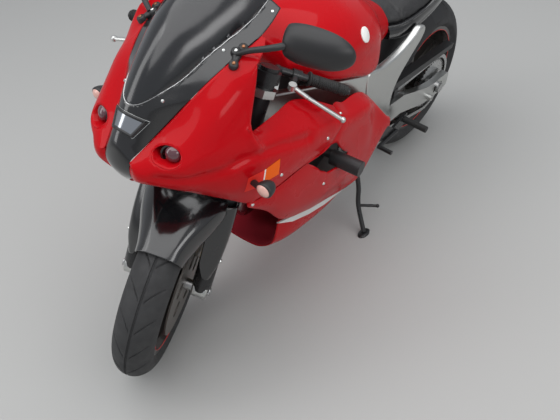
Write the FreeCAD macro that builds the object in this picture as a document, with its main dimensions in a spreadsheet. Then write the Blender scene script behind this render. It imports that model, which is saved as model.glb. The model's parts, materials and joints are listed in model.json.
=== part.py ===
"""Sport bike, parked on its side stand with the steering on its left stop.

Every piece is drawn upright in the bike's own frame, in millimetres: X forward, Y to the rider's
left, Z up, origin on the floor under the rear axle. Pieces that steer are then turned about the
steering axis, and everything is leaned over until both tyres and the stand's foot rest on the floor.
"""
import FreeCAD, Part
import math
import os
import re
from FreeCAD import Placement, Rotation, Vector

# Driving dimensions: name, value (mm or degrees), what it is
SIZES = [
    ("wheelbase", 1395, "rear axle to front axle"),
    ("rake_deg", 24, "steering axis back from the vertical"),
    ("fork_offset", 33, "fork legs ahead of the steering axis"),
    ("lean_deg", 10, "lean to the left on the side stand"),
    ("steer_rest_deg", 25, "steering turned to the left stop"),
    ("origin_x", 631.673, "middle of the parked bike ahead of the rear axle"),
    ("origin_y", 175.297, "middle of the parked bike left of the upright rear tyre's track"),
    ("front_tyre_radius", 300, "front tyre over the tread"),
    ("front_tyre_width", 120, "front tyre's section"),
    ("front_seat_width", 88, "front rim between its flanges"),
    ("rear_tyre_radius", 315, "rear tyre over the tread"),
    ("rear_tyre_width", 180, "rear tyre's section"),
    ("rear_seat_width", 140, "rear rim between its flanges"),
    ("front_sidewall", 84, "front tyre's tread above its seat on the rim"),
    ("rear_sidewall", 99, "rear tyre's tread above its seat on the rim"),
    ("flange_height", 11, "rim flange above the tyre seat"),
    ("flange_width", 5, "rim flange's thickness"),
    ("rim_wall", 7, "rim barrel's wall"),
    ("spoke_count", 5, "spokes of each wheel"),
    ("spoke_width", 42, "spoke's width at the hub"),
    ("spoke_depth", 30, "spoke's depth along the axle"),
    ("front_hub_radius", 34, "front hub"),
    ("front_hub_width", 110, "front hub between its disc seats"),
    ("rear_hub_radius", 48, "rear hub"),
    ("rear_hub_width", 150, "rear hub between disc and sprocket seats"),
    ("front_axle_radius", 12.5, "front axle"),
    ("front_axle_bore", 7, "hollow front axle's bore radius"),
    ("rear_axle_radius", 12.5, "rear axle"),
    ("axle_clearance", 0.3, "wheel bearing round its axle"),
    ("front_disc_radius", 160, "front brake disc"),
    ("front_disc_thick", 5, "front brake disc"),
    ("rear_disc_radius", 110, "rear brake disc"),
    ("rear_disc_thick", 5, "rear brake disc"),
    ("fork_spread", 105, "fork leg from the centre plane"),
    ("fork_tube_radius", 27, "upper fork tube"),
    ("fork_leg_radius", 21.5, "lower fork leg that slides in the tube"),
    ("fork_tube_start", 175, "upper tube's lower end above the axle, along the fork"),
    ("fork_top", 690, "fork top above the axle, along the fork"),
    ("lower_yoke_at", 395, "lower yoke's underside, along the fork"),
    ("lower_yoke_thick", 32, "lower yoke"),
    ("upper_yoke_at", 612, "upper yoke's underside, along the fork"),
    ("upper_yoke_thick", 22, "upper yoke"),
    ("stem_radius", 14, "steering stem"),
    ("stem_bore", 8, "hollow stem's bore radius"),
    ("headstock_radius", 32, "headstock tube"),
    ("clip_on_at", 650, "clip-on clamps, along the fork"),
    ("clip_on_depth", 30, "clip-on clamp along the fork"),
    ("bar_radius", 11, "handlebar tube"),
    ("grip_radius", 17, "rubber grip"),
    ("grip_length", 125, "rubber grip"),
    ("swingarm_pivot_x", 545, "swingarm pivot ahead of the rear axle"),
    ("swingarm_pivot_z", 400, "swingarm pivot above the floor"),
    ("arm_inner", 121, "swingarm's arms, inner face from the centre plane"),
    ("arm_thick", 28, "swingarm's arms across the bike"),
    ("spool_radius", 4, "paddock stand spool's threaded hole"),
    ("spool_depth", 16, "paddock stand spool's threaded hole"),
    ("beam_thick", 28, "frame beams across the bike"),
    ("beam_spread", 178, "frame beams' outer faces from the centre plane, at the pivot"),
    ("head_half", 60, "headstock's web between the beams' front ends, half width"),
    ("tyre_facets", 12, "flats across each tyre's crown"),
    ("chain_line", 108, "chain's middle from the centre plane"),
    ("chain_width", 17, "chain over its plates"),
    ("chain_height", 15, "chain's plates"),
    ("sprocket_radius", 104, "rear sprocket over its teeth"),
    ("sprocket_thick", 6, "rear sprocket"),
    ("sprocket_teeth", 40, "rear sprocket's teeth"),
    ("chain_gap", 5.4, "teeth to the fixed chain loop"),
    ("front_loop_radius", 42, "chain loop over the gearbox sprocket"),
    ("skin", 4, "bodywork's wall"),
    ("joint_gap", 0.4, "shut line between body panels"),
    ("screen_skin", 3.5, "windscreen's wall"),
    ("silencer_radius", 54, "silencer's body"),
    ("silencer_length", 480, "silencer's body"),
    ("pipe_radius", 24, "exhaust pipe"),
    ("slider_radius", 24, "crash slider"),
    ("slider_end", 320, "crash slider's end from the centre plane"),
    ("peg_radius", 12, "footrest"),
    ("peg_length", 92, "footrest"),
    ("stand_leg_radius", 10, "side stand's leg"),
    ("stand_pivot_x", 575, "side stand's pivot ahead of the rear axle"),
    ("stand_pivot_y", 146, "side stand's pivot from the centre plane"),
    ("stand_pivot_z", 262, "side stand's pivot above the floor"),
    ("stand_axis_tilt", 27, "side stand's pivot pin, its outer end above level, degrees"),
    ("stand_foot_x", 640, "side stand's foot ahead of the rear axle"),
    ("stand_foot_out", 262, "side stand's foot left of the rear tyre's track"),
]

doc = FreeCAD.newDocument("sport_bike")
sheet = doc.addObject("Spreadsheet::Sheet", "sizes")


class Values:
    """The sheet's numbers for use in code: v.wheelbase is the cell called wheelbase."""


v = Values()
for row, (alias, value, note) in enumerate(SIZES, start=1):
    sheet.set(f"A{row}", alias)
    sheet.set(f"B{row}", str(value))
    sheet.set(f"C{row}", note)
    sheet.setAlias(f"B{row}", alias)
    setattr(v, alias, float(value))
doc.recompute()

X = Vector(1, 0, 0)
Y = Vector(0, 1, 0)
Z = Vector(0, 0, 1)
RAKE = math.radians(v.rake_deg)
FORK_UP = Vector(-math.sin(RAKE), 0, math.cos(RAKE))
FORK_AHEAD = Vector(math.cos(RAKE), 0, math.sin(RAKE))
FRONT_AXLE = Vector(v.wheelbase, 0, v.front_tyre_radius)
REAR_AXLE = Vector(0, 0, v.rear_tyre_radius)
STEER_POINT = FRONT_AXLE - FORK_AHEAD * v.fork_offset
NAME = re.compile(r"[a-z][a-z_]+")


def bind(thing, **expressions):
    """Bind properties to the sheet: each expression names cells, such as 'axle_radius + 1'."""
    for prop, text in expressions.items():
        thing.setExpression(prop, NAME.sub(lambda word: "sizes." + word.group(), str(text)))


def along_fork(distance, across=0, ahead=0):
    """A point above the front axle along a fork leg, across the bike and ahead of the leg."""
    return FRONT_AXLE + FORK_UP * distance + Y * across + FORK_AHEAD * ahead


def cylinder(name, radius, length, start, direction):
    solid = doc.addObject("Part::Cylinder", name)
    bind(solid, Radius=radius, Height=length)
    solid.Placement = Placement(start, Rotation(Z, direction))
    return solid


def rod(name, radius, start, end):
    """A cylinder from one point to another."""
    solid = doc.addObject("Part::Cylinder", name)
    bind(solid, Radius=radius)
    solid.Height = (end - start).Length
    solid.Placement = Placement(start, Rotation(Z, end - start))
    return solid


def cone(name, radius, end_radius, start, end):
    solid = doc.addObject("Part::Cone", name)
    solid.Radius1 = radius
    solid.Radius2 = end_radius
    solid.Height = (end - start).Length
    solid.Placement = Placement(start, Rotation(Z, end - start))
    return solid


def block(name, size, centre, rotation=Rotation()):
    """A box by its middle: size along its own X, Y and Z."""
    solid = doc.addObject("Part::Box", name)
    solid.Length, solid.Width, solid.Height = size
    half = Vector(*size) * 0.5
    solid.Placement = Placement(centre - rotation.multVec(half), rotation)
    return solid


def egg(name, along, across, up, place):
    """An ellipsoid by its half sizes along X, Y and Z."""
    solid = doc.addObject("Part::Ellipsoid", name)
    solid.Radius1 = up
    solid.Radius2 = along
    solid.Radius3 = across
    solid.Angle1 = -90
    solid.Angle2 = 90
    solid.Placement = place
    return solid


def plate(name, outline, thickness, place, symmetric=True):
    """A sketch of straight lines through the outline's points, extruded along its normal."""
    sketch = doc.addObject("Sketcher::SketchObject", name + "_outline")
    sketch.Placement = place
    corners = [Vector(a, b, 0) for a, b in outline]
    for start, end in zip(corners, corners[1:] + corners[:1]):
        sketch.addGeometry(Part.LineSegment(start, end), False)
    solid = doc.addObject("Part::Extrusion", name)
    solid.Base = sketch
    solid.DirMode = "Normal"
    solid.Solid = True
    solid.Symmetric = symmetric
    bind(solid, LengthFwd=thickness)
    sketch.Visibility = False
    return solid


def side_plate(name, outline, thickness, y):
    """A plate that lies along the bike: its outline is in X and Z, its middle at y."""
    return plate(name, outline, thickness, Placement(Vector(0, y, 0), Rotation(X, 90)))


def join(name, pieces):
    solid = doc.addObject("Part::MultiFuse", name)
    solid.Shapes = pieces
    solid.Refine = False
    return solid


def cut(name, base, tool):
    solid = doc.addObject("Part::Cut", name)
    solid.Base = base
    solid.Tool = tool
    return solid


def group(name, pieces):
    """Solids that share a node and don't touch."""
    solid = doc.addObject("Part::Compound", name)
    solid.Links = pieces
    return solid


def mirrored(name, piece):
    """The same piece on the bike's right side."""
    solid = doc.addObject("Part::Mirroring", name)
    solid.Source = piece
    solid.Base = Vector(0, 0, 0)
    solid.Normal = Y
    return solid


def feature(name, shape):
    solid = doc.addObject("Part::Feature", name)
    solid.Shape = shape
    return solid


def smooth_edges(points):
    """Arcs through each three points in turn; lines where only two are left."""
    edges = []
    index = 0
    while index + 2 < len(points):
        first, middle, last = points[index:index + 3]
        straight = (middle - first).cross(last - middle).Length < 1e-3 * (last - first).Length
        if straight:
            edges.append(Part.LineSegment(first, last).toShape())
        else:
            edges.append(Part.Arc(first, middle, last).toShape())
        index += 2
    if index + 1 < len(points):
        edges.append(Part.LineSegment(points[index], points[index + 1]).toShape())
    return edges


def strip_wire(outer, inner):
    """A closed wire: the outer edge, back along the inner edge."""
    back = inner[::-1]
    edges = smooth_edges(outer)
    edges.append(Part.LineSegment(outer[-1], back[0]).toShape())
    edges += smooth_edges(back)
    edges.append(Part.LineSegment(back[-1], outer[0]).toShape())
    return Part.Wire(edges)


def inward(points, wall):
    """Points moved in by the wall, square to the line through their neighbours (Y, Z pairs)."""
    moved = []
    for index, (y, z) in enumerate(points):
        before = points[max(index - 1, 0)]
        after = points[min(index + 1, len(points) - 1)]
        dy = after[0] - before[0]
        dz = after[1] - before[1]
        length = math.hypot(dy, dz)
        moved.append((y + wall * dz / length, z - wall * dy / length))
    return moved


def panel(name, stations, wall):
    """A skin lofted between stations: each is x and its (y, z) points from the top edge down."""
    wires = []
    for x, points in stations:
        outer = [Vector(x, y, z) for y, z in points]
        inner = [Vector(x, y, z) for y, z in inward(points, wall)]
        wires.append(strip_wire(outer, inner))
    return feature(name, Part.makeLoft(wires, True, True))


def bridge(name, stations, wall):
    """A skin across the bike: each station is an edge (x, y, z) and its crown (x, z)."""
    wires = []
    for (edge_x, edge_y, edge_z), (crown_x, crown_z) in stations:
        crown = Vector(crown_x, 0, crown_z)
        rise = crown - Vector(edge_x, 0, edge_z)
        step = rise * (wall / rise.Length)
        outer = [Vector(edge_x, edge_y, edge_z), crown, Vector(edge_x, -edge_y, edge_z)]
        inner = [point - step for point in outer]
        wires.append(strip_wire(outer, inner))
    return feature(name, Part.makeLoft(wires, True, True))


def hull(name, stations):
    """A solid lofted between stations: each is x and the (y, z) points of its left half,
    from the top's middle down to the bottom's middle."""
    wires = []
    for x, points in stations:
        left = [Vector(x, y, z) for y, z in points]
        right = [Vector(x, -y, z) for y, z in points[::-1]]
        wires.append(Part.Wire(smooth_edges(left) + smooth_edges(right)))
    return feature(name, Part.makeLoft(wires, True, True))


def pipe(name, points, radius, bend):
    """A round bar along straight runs with rounded corners."""
    edges = []
    start = points[0]
    for before, corner, after in zip(points, points[1:], points[2:]):
        arrive = (corner - before).normalize()
        leave = (after - corner).normalize()
        turn = arrive.getAngle(leave)
        back = bend * math.tan(turn / 2)
        first = corner - arrive * back
        last = corner + leave * back
        inside = (leave - arrive).normalize()
        middle = corner + inside * (bend / math.cos(turn / 2) - bend)
        edges.append(Part.LineSegment(start, first).toShape())
        edges.append(Part.Arc(first, middle, last).toShape())
        start = last
    edges.append(Part.LineSegment(start, points[-1]).toShape())
    ring = Part.Wire(Part.makeCircle(radius, points[0], points[1] - points[0]))
    return feature(name, Part.Wire(edges).makePipeShell([ring], True, False))


def revolved(body, name, profile):
    """A PartDesign revolution about the body's Y axis: the profile is in radius and Y."""
    sketch = body.newObject("Sketcher::SketchObject", name + "_profile")
    sketch.AttachmentSupport = (origin_plane(body, "XY_Plane"), [""])
    sketch.MapMode = "FlatFace"
    corners = [Vector(radius, y, 0) for radius, y in profile]
    for start, end in zip(corners, corners[1:] + corners[:1]):
        sketch.addGeometry(Part.LineSegment(start, end), False)
    turned = body.newObject("PartDesign::Revolution", name)
    turned.Profile = sketch
    turned.ReferenceAxis = (sketch, ["V_Axis"])
    turned.Angle = 360
    body.Tip = turned
    return turned


def origin_plane(body, role):
    return [item for item in body.Origin.OriginFeatures if item.Role == role][0]


def padded(body, name, outline, depth):
    """A PartDesign pad, both ways from the body's middle: the outline is in X and Z."""
    sketch = body.newObject("Sketcher::SketchObject", name + "_outline")
    sketch.AttachmentSupport = (origin_plane(body, "XZ_Plane"), [""])
    sketch.MapMode = "FlatFace"
    corners = [Vector(a, b, 0) for a, b in outline]
    for start, end in zip(corners, corners[1:] + corners[:1]):
        sketch.addGeometry(Part.LineSegment(start, end), False)
    pad = body.newObject("PartDesign::Pad", name)
    pad.Profile = sketch
    pad.Midplane = True
    bind(pad, Length=depth)
    body.Tip = pad
    return pad


def around_axle(body, name, feature_to_copy, count):
    """Copies round the body's Y axis."""
    pattern = body.newObject("PartDesign::PolarPattern", name)
    pattern.Originals = [feature_to_copy]
    pattern.Axis = (origin_plane(body, "Y_Axis"), [""])
    pattern.Angle = 360
    bind(pattern, Occurrences=count)
    body.Tip = pattern
    return pattern


NODES = []


def node(piece, label, place):
    piece.Label = label
    piece.Placement = place * piece.Placement
    NODES.append(piece)
    return piece


# Parked pose
STEER = Rotation(FORK_UP, v.steer_rest_deg)
STEERED = Placement(STEER_POINT - STEER.multVec(STEER_POINT), STEER)


def tyre_crown(radius, width):
    """A tyre's tread from side to side, as radius and Y: flats round half a circle."""
    half = width / 2
    turns = [math.pi * index / v.tyre_facets for index in range(int(v.tyre_facets) + 1)]
    return [(radius - half + half * math.sin(turn), half * math.cos(turn)) for turn in turns]


def lowest(place, centre, radius, width):
    """Height of a tyre's lowest point."""
    middle = place.multVec(centre)
    axis = place.Rotation.multVec(Y)
    down = math.sqrt(1 - axis.z ** 2)
    return min(middle.z - ring * down + y * axis.z for ring, y in tyre_crown(radius, width))


def parked():
    """Lean, then pitch and lift until both tyres touch the floor."""
    lean = Rotation(X, -v.lean_deg)
    pitch = 0.0
    for _ in range(6):
        turn = Placement(Vector(), Rotation(Y, pitch).multiply(lean))
        rear = lowest(turn, REAR_AXLE, v.rear_tyre_radius, v.rear_tyre_width)
        front = lowest(turn * STEERED, FRONT_AXLE, v.front_tyre_radius, v.front_tyre_width)
        pitch += math.degrees(math.atan2(front - rear, v.wheelbase))
    shift = Vector(-v.origin_x, -v.origin_y, -rear)
    return Placement(shift, turn.Rotation)


CHASSIS = parked()
FORK = CHASSIS * STEERED


# Wheels
FRONT_BEAD = v.front_tyre_radius - v.front_sidewall
REAR_BEAD = v.rear_tyre_radius - v.rear_sidewall


def wheel_profile(bead, seat_width):
    """Rim: tyre seat, two flanges, and a barrel that dips between them (radius, Y)."""
    half = seat_width / 2 + v.joint_gap
    out = half + v.flange_width
    seat = bead - v.axle_clearance
    top = seat + v.flange_height
    inner = seat - v.rim_wall
    return [(seat, -half), (top, -half), (top, -out), (inner, -out), (inner - 8, -half + 14),
            (inner - 8, half - 14), (inner, out), (top, out), (top, half), (seat, half)]


def make_rim(name, bead, seat_width, hub_radius, hub_width, axle_radius, place):
    body = doc.addObject("PartDesign::Body", name)
    revolved(body, name + "_barrel", wheel_profile(bead, seat_width))
    bore = axle_radius + v.axle_clearance
    half = hub_width / 2
    revolved(body, name + "_hub", [(bore, -half), (hub_radius, -half), (hub_radius, half), (bore, half)])
    tip = bead - v.rim_wall - 5
    root = hub_radius - 4
    width = v.spoke_width / 2
    spoke = padded(body, name + "_spoke",
                   [(-width, root), (width, root), (width * 0.62, tip), (-width * 0.62, tip)],
                   "spoke_depth")
    around_axle(body, name + "_spokes", spoke, "spoke_count")
    node(body, name, place)


def make_tyre(name, radius, width, bead, seat_width, place):
    half = seat_width / 2
    lip = bead + v.flange_height + 3
    points = [Vector(bead, half, 0), Vector(lip, half, 0)]
    points += [Vector(ring, y, 0) for ring, y in tyre_crown(radius, width)]
    points += [Vector(lip, -half, 0), Vector(bead, -half, 0)]
    profile = feature(name + "_profile", Part.Face(Part.makePolygon(points + points[:1])))
    tyre = doc.addObject("Part::Revolution", name)
    tyre.Source = profile
    tyre.Axis = Y
    tyre.Base = Vector(0, 0, 0)
    tyre.Angle = 360
    tyre.Solid = True
    node(tyre, name, place)


FRONT_WHEEL = FORK * Placement(FRONT_AXLE, Rotation())
REAR_WHEEL = CHASSIS * Placement(REAR_AXLE, Rotation())
make_rim("front_rim", FRONT_BEAD, v.front_seat_width, v.front_hub_radius, v.front_hub_width,
         v.front_axle_radius, FRONT_WHEEL)
make_rim("rear_rim", REAR_BEAD, v.rear_seat_width, v.rear_hub_radius, v.rear_hub_width,
         v.rear_axle_radius, REAR_WHEEL)
make_tyre("front_tyre", v.front_tyre_radius, v.front_tyre_width, FRONT_BEAD, v.front_seat_width,
          FRONT_WHEEL)
make_tyre("rear_tyre", v.rear_tyre_radius, v.rear_tyre_width, REAR_BEAD, v.rear_seat_width, REAR_WHEEL)


def disc(name, radius, band, hub_bore, thickness, inner_face, side):
    """Brake disc on its carrier: a ring, and a thinner star that bolts to the hub."""
    start = Vector(0, side * inner_face, 0)
    outward = Y * side
    outer = cylinder(name + "_outer", radius, thickness, start, outward)
    windows = [cylinder(name + "_bore", hub_bore, thickness + " + 20", start - outward * 10, outward)]
    middle = (band + v.front_hub_radius) / 2 + 4
    for index in range(5):
        angle = 2 * math.pi * (index + 0.5) / 5
        spot = start + Vector(math.cos(angle) * middle, 0, math.sin(angle) * middle) - outward * 10
        window = doc.addObject("Part::Cylinder", name + f"_window_{index}")
        window.Radius = (band - v.front_hub_radius) * 0.3
        window.Height = 40
        window.Placement = Placement(spot, Rotation(Z, outward))
        windows.append(window)
    return cut(name, outer, join(name + "_windows", windows))


front_disc_face = v.front_hub_width / 2
node(group("front_discs", [
    disc("front_disc_left", "front_disc_radius", 118, "front_axle_radius + 6", "front_disc_thick",
         front_disc_face, 1),
    disc("front_disc_right", "front_disc_radius", 118, "front_axle_radius + 6", "front_disc_thick",
         front_disc_face, -1)]), "front_discs", FRONT_WHEEL)
rear_face = v.rear_hub_width / 2
node(disc("rear_disc", "rear_disc_radius", 84, "rear_axle_radius + 12", "rear_disc_thick",
          rear_face, -1), "rear_disc", REAR_WHEEL)


def make_sprocket():
    """Toothed ring on a carrier that reaches out from the rear hub."""
    inner = v.chain_line - v.sprocket_thick / 2
    body = doc.addObject("PartDesign::Body", "rear_sprocket")
    root = v.sprocket_radius - 9
    bore = v.rear_axle_radius + 12
    outer = inner + v.sprocket_thick
    revolved(body, "sprocket_plate", [(bore, rear_face), (v.rear_hub_radius + 12, rear_face),
                                      (v.rear_hub_radius + 12, inner), (root, inner),
                                      (root, outer), (bore, outer)])
    tooth = body.newObject("Sketcher::SketchObject", "tooth_outline")
    tooth.AttachmentSupport = (origin_plane(body, "XZ_Plane"), [""])
    tooth.MapMode = "FlatFace"
    tooth.AttachmentOffset = Placement(Vector(0, 0, -outer), Rotation())
    half = math.pi * root / v.sprocket_teeth * 0.8
    corners = [Vector(-half, root - 1, 0), Vector(half, root - 1, 0),
               Vector(half * 0.35, v.sprocket_radius, 0), Vector(-half * 0.35, v.sprocket_radius, 0)]
    for start, end in zip(corners, corners[1:] + corners[:1]):
        tooth.addGeometry(Part.LineSegment(start, end), False)
    pad = body.newObject("PartDesign::Pad", "tooth")
    pad.Profile = tooth
    pad.Midplane = False
    pad.Reversed = False
    bind(pad, Length="sprocket_thick")
    body.Tip = pad
    around_axle(body, "teeth", pad, "sprocket_teeth")
    node(body, "rear_sprocket", REAR_WHEEL)


make_sprocket()


# Fork
def both_sides(maker):
    """Left and right copies of a piece: maker takes a name's ending and +1 or -1."""
    return [maker("left", 1), maker("right", -1)]


def fork_tube(side_name, side):
    start = along_fork(v.fork_tube_start, side * v.fork_spread)
    return cylinder("fork_tube_" + side_name, "fork_tube_radius", "fork_top - fork_tube_start",
                    start, FORK_UP)


node(group("fork_tubes", both_sides(fork_tube)), "fork_tubes", FORK)

CLAMP_TOP = 70
CLAMP_HALF = 24


def axle_clamp(side_name, side):
    """Cast foot round the axle's end, with the caliper's lugs behind it."""
    y = side * v.fork_spread
    foot = block("clamp_foot_" + side_name, (62, 2 * CLAMP_HALF, CLAMP_TOP + 30),
                 along_fork((CLAMP_TOP - 30) / 2, y), Rotation(Y, -v.rake_deg))
    neck = cylinder("clamp_neck_" + side_name, "fork_leg_radius + 7", 45,
                    along_fork(CLAMP_TOP, y), FORK_UP)
    bore = cylinder("clamp_bore_" + side_name, "front_axle_radius", 80,
                    FRONT_AXLE + Y * (y - 40), Y)
    socket = cylinder("clamp_socket_" + side_name, "fork_leg_radius + 0.2", 120,
                      along_fork(40, y), FORK_UP)
    lug = block("caliper_lug_" + side_name, (58, 22, 24), along_fork(58, side * 92, -49.7),
                Rotation(Y, -v.rake_deg))
    body = join("clamp_body_" + side_name, [foot, neck, lug])
    return cut("clamp_" + side_name, body, join("clamp_holes_" + side_name, [bore, socket]))


def fork_leg(side_name, side):
    return cylinder("fork_leg_" + side_name, "fork_leg_radius", "fork_tube_start - 40",
                    along_fork(40, side * v.fork_spread), FORK_UP)


node(group("axle_clamps", both_sides(axle_clamp)), "axle_clamps", FORK)
node(group("fork_legs", both_sides(fork_leg)), "fork_legs", FORK)


def make_front_axle():
    reach = v.fork_spread + 30
    bar = cylinder("axle_bar", "front_axle_radius - 0.1", 2 * reach, FRONT_AXLE - Y * reach, Y)
    spacer_in = v.front_hub_width / 2 + v.front_disc_thick + 0.3
    spacer_out = v.fork_spread - CLAMP_HALF - 0.3
    spacers = [rod("axle_spacer_left", "front_axle_radius + 5", FRONT_AXLE + Y * spacer_in,
                   FRONT_AXLE + Y * spacer_out),
               rod("axle_spacer_right", "front_axle_radius + 5", FRONT_AXLE - Y * spacer_out,
                   FRONT_AXLE - Y * spacer_in)]
    bore = cylinder("axle_bore", "front_axle_bore", 2 * reach + 20, FRONT_AXLE - Y * (reach + 10), Y)
    solid = join("axle_solid", [bar] + spacers)
    node(cut("front_axle", solid, bore), "front_axle", FORK)


make_front_axle()


def yoke(name, at, thickness):
    """A plate across both fork tubes, waisted round the stem (ahead of the stem, across)."""
    start = STEER_POINT + FORK_UP * at
    reach = v.fork_spread
    ring = v.fork_tube_radius + 9
    outline = [(-34, 22), (-34, -22), (v.fork_offset - ring, -reach - 10),
               (v.fork_offset - 14, -reach - ring), (v.fork_offset + 14, -reach - ring),
               (v.fork_offset + ring, -reach - 10), (v.fork_offset + ring, -reach + 16), (32, -34),
               (32, 34), (v.fork_offset + ring, reach - 16), (v.fork_offset + ring, reach + 10),
               (v.fork_offset + 14, reach + ring), (v.fork_offset - 14, reach + ring),
               (v.fork_offset - ring, reach + 10)]
    return plate(name, outline, thickness, Placement(start, Rotation(Y, -v.rake_deg)), False)


def make_yokes():
    upper = yoke("upper_plate", v.upper_yoke_at, "upper_yoke_thick")
    lower = yoke("lower_plate", v.lower_yoke_at, "lower_yoke_thick")
    stem = cylinder("stem", "stem_radius", "upper_yoke_at + upper_yoke_thick + 12 - lower_yoke_at",
                    STEER_POINT + FORK_UP * v.lower_yoke_at, FORK_UP)
    holes = [cylinder("yoke_hole_" + side_name, "fork_tube_radius + 0.05", 320,
                      along_fork(v.lower_yoke_at - 20, side * v.fork_spread), FORK_UP)
             for side_name, side in (("left", 1), ("right", -1))]
    holes.append(cylinder("stem_hole", "stem_bore", 400,
                          STEER_POINT + FORK_UP * (v.lower_yoke_at - 50), FORK_UP))
    solid = join("yoke_solid", [upper, lower, stem])
    node(cut("yokes", solid, join("yoke_holes", holes)), "yokes", FORK)


make_yokes()

BAR_FROM = Vector(1073, 122, 897)
BAR_LINE = Vector(-45, 125, -28).normalize()
GRIP_AT = 86


def flipped(point, side):
    return Vector(point.x, side * point.y, point.z)


def clip_on(side_name, side):
    """Clamp round the fork tube, bar, and the lever's perch."""
    line = flipped(BAR_LINE, side)
    start = flipped(BAR_FROM, side)
    ring = cylinder("clip_ring_" + side_name, "fork_tube_radius + 8", "clip_on_depth",
                    along_fork(v.clip_on_at, side * v.fork_spread), FORK_UP)
    arm = rod("clip_arm_" + side_name, "bar_radius + 3",
              along_fork(v.clip_on_at + v.clip_on_depth / 2, side * v.fork_spread), start)
    bar = rod("bar_" + side_name, "bar_radius", start - line * 8, start + line * (GRIP_AT + v.grip_length))
    perch = rod("perch_" + side_name, "bar_radius + 5", start + line * (GRIP_AT - 46),
                start + line * (GRIP_AT - 20))
    lug = rod("perch_lug_" + side_name, 9, start + line * (GRIP_AT - 33),
              start + line * (GRIP_AT - 30) + Vector(44, 0, 4))
    solid = join("clip_solid_" + side_name, [ring, arm, bar, perch, lug])
    hole = cylinder("clip_hole_" + side_name, "fork_tube_radius + 0.05", 90,
                    along_fork(v.clip_on_at - 30, side * v.fork_spread), FORK_UP)
    return cut("clip_on_" + side_name, solid, hole)


def grip(side_name, side):
    line = flipped(BAR_LINE, side)
    start = flipped(BAR_FROM, side) + line * GRIP_AT
    sleeve = cylinder("grip_sleeve_" + side_name, "grip_radius", "grip_length", start, line)
    hole = cylinder("grip_hole_" + side_name, "bar_radius + 0.05", "grip_length + 20",
                    start - line * 10, line)
    return cut("grip_" + side_name, sleeve, hole)


def lever(side_name, side):
    """Blade ahead of the grip, with a ball at its end."""
    line = flipped(BAR_LINE, side)
    root = flipped(BAR_FROM, side) + line * (GRIP_AT - 30) + Vector(56, 0, 4)
    knee = root + line * 50 + Vector(16, 0, -8)
    tip = root + line * 166 + Vector(30, 0, -34)
    blade = join("lever_blade_" + side_name, [
        rod("lever_root_" + side_name, 7, root, knee), rod("lever_tip_" + side_name, 6, knee, tip),
        rod("lever_knuckle_" + side_name, 11, root - Vector(0, 0, 8), root + Vector(0, 0, 8))])
    ball = doc.addObject("Part::Sphere", "lever_ball_" + side_name)
    ball.Radius = 9
    ball.Placement = Placement(tip, Rotation())
    return join("lever_" + side_name, [blade, ball])


node(group("clip_ons", both_sides(clip_on)), "clip_ons", FORK)
node(group("grips", both_sides(grip)), "grips", FORK)
node(group("levers", both_sides(lever)), "levers", FORK)


def caliper(side_name, side):
    """Four-piston block over the disc's rear edge, bolted behind the fork foot."""
    y = side * (v.front_hub_width / 2 + v.front_disc_thick / 2)
    turn = Rotation(Y, -v.rake_deg)
    body = block("caliper_block_" + side_name, (50, 46, 96), along_fork(98, y + side * 4, -104), turn)
    slot = cylinder("caliper_slot_" + side_name, "front_disc_radius + 5.5", "front_disc_thick + 11",
                    FRONT_AXLE + Y * (y - (v.front_disc_thick + 11) / 2), Y)
    return cut("caliper_" + side_name, body, slot)


node(group("front_calipers", both_sides(caliper)), "front_calipers", FORK)


def make_front_fender():
    """A hood over the tyre from its lip ahead to the flap behind, with a guard down each leg."""
    wires = []
    wall = v.skin - 1
    for angle in (60, 77, 94, 111, 128, 145, 162):
        turn = math.radians(angle)
        spoke = Vector(math.cos(turn), 0, math.sin(turn))
        narrow = 4 if angle in (60, 162) else 0
        crown = FRONT_AXLE + spoke * (v.front_tyre_radius + 14)
        edge = FRONT_AXLE + spoke * (v.front_tyre_radius - 48)
        half = v.front_tyre_width / 2 + 12 - narrow
        outer = [edge + Y * half, crown, edge - Y * half]
        inner = [point - spoke * wall for point in outer]
        inner[0] -= Y * wall
        inner[2] += Y * wall
        wires.append(strip_wire(outer, inner))
    hood = feature("fender_hood", Part.makeLoft(wires, True, True))
    guards = []
    for side_name, side in (("left", 1), ("right", -1)):
        y = side * (v.fork_spread + 4)
        top = v.front_tyre_radius
        outline = [(30, 70), (58, 110), (62, top - 70), (40, top), (24, top), (33, top - 80), (33, 100),
                   (30, 84)]
        place = Placement(FRONT_AXLE + Y * y, Rotation(Y, -v.rake_deg) * Rotation(X, 90))
        guards.append(plate("fork_guard_" + side_name, outline, 44, place))
        guards.append(block("fender_arm_" + side_name, (80, 28, 26),
                            along_fork(top - 36, side * (v.fork_spread - 27), 12),
                            Rotation(Y, -v.rake_deg)))
    room = [cylinder("fender_room_" + side_name, "fork_tube_radius + 0.3", 400,
                     along_fork(v.fork_tube_start - 5, side * v.fork_spread), FORK_UP)
            for side_name, side in (("left", 1), ("right", -1))]
    solid = join("fender_solid", [hood] + guards)
    node(cut("front_fender", solid, join("fender_rooms", room)), "front_fender", FORK)


make_front_fender()

# Frame
PIVOT = Vector(v.swingarm_pivot_x, 0, v.swingarm_pivot_z)


def make_headstock():
    start = v.lower_yoke_at + v.lower_yoke_thick + 2
    end = v.upper_yoke_at - 2
    tube = rod("headstock_tube", "headstock_radius", STEER_POINT + FORK_UP * start,
               STEER_POINT + FORK_UP * end)
    web = block("headstock_web", (86, 2 * v.head_half, 120), STEER_POINT + FORK_UP * (start + end) / 2
                - FORK_AHEAD * 52, Rotation(Y, -v.rake_deg))
    bore = cylinder("headstock_bore", "stem_radius + 0.3", 400, STEER_POINT + FORK_UP * (start - 60),
                    FORK_UP)
    return cut("headstock", join("headstock_solid", [tube, web]), bore)


node(make_headstock(), "headstock", CHASSIS)


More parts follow.
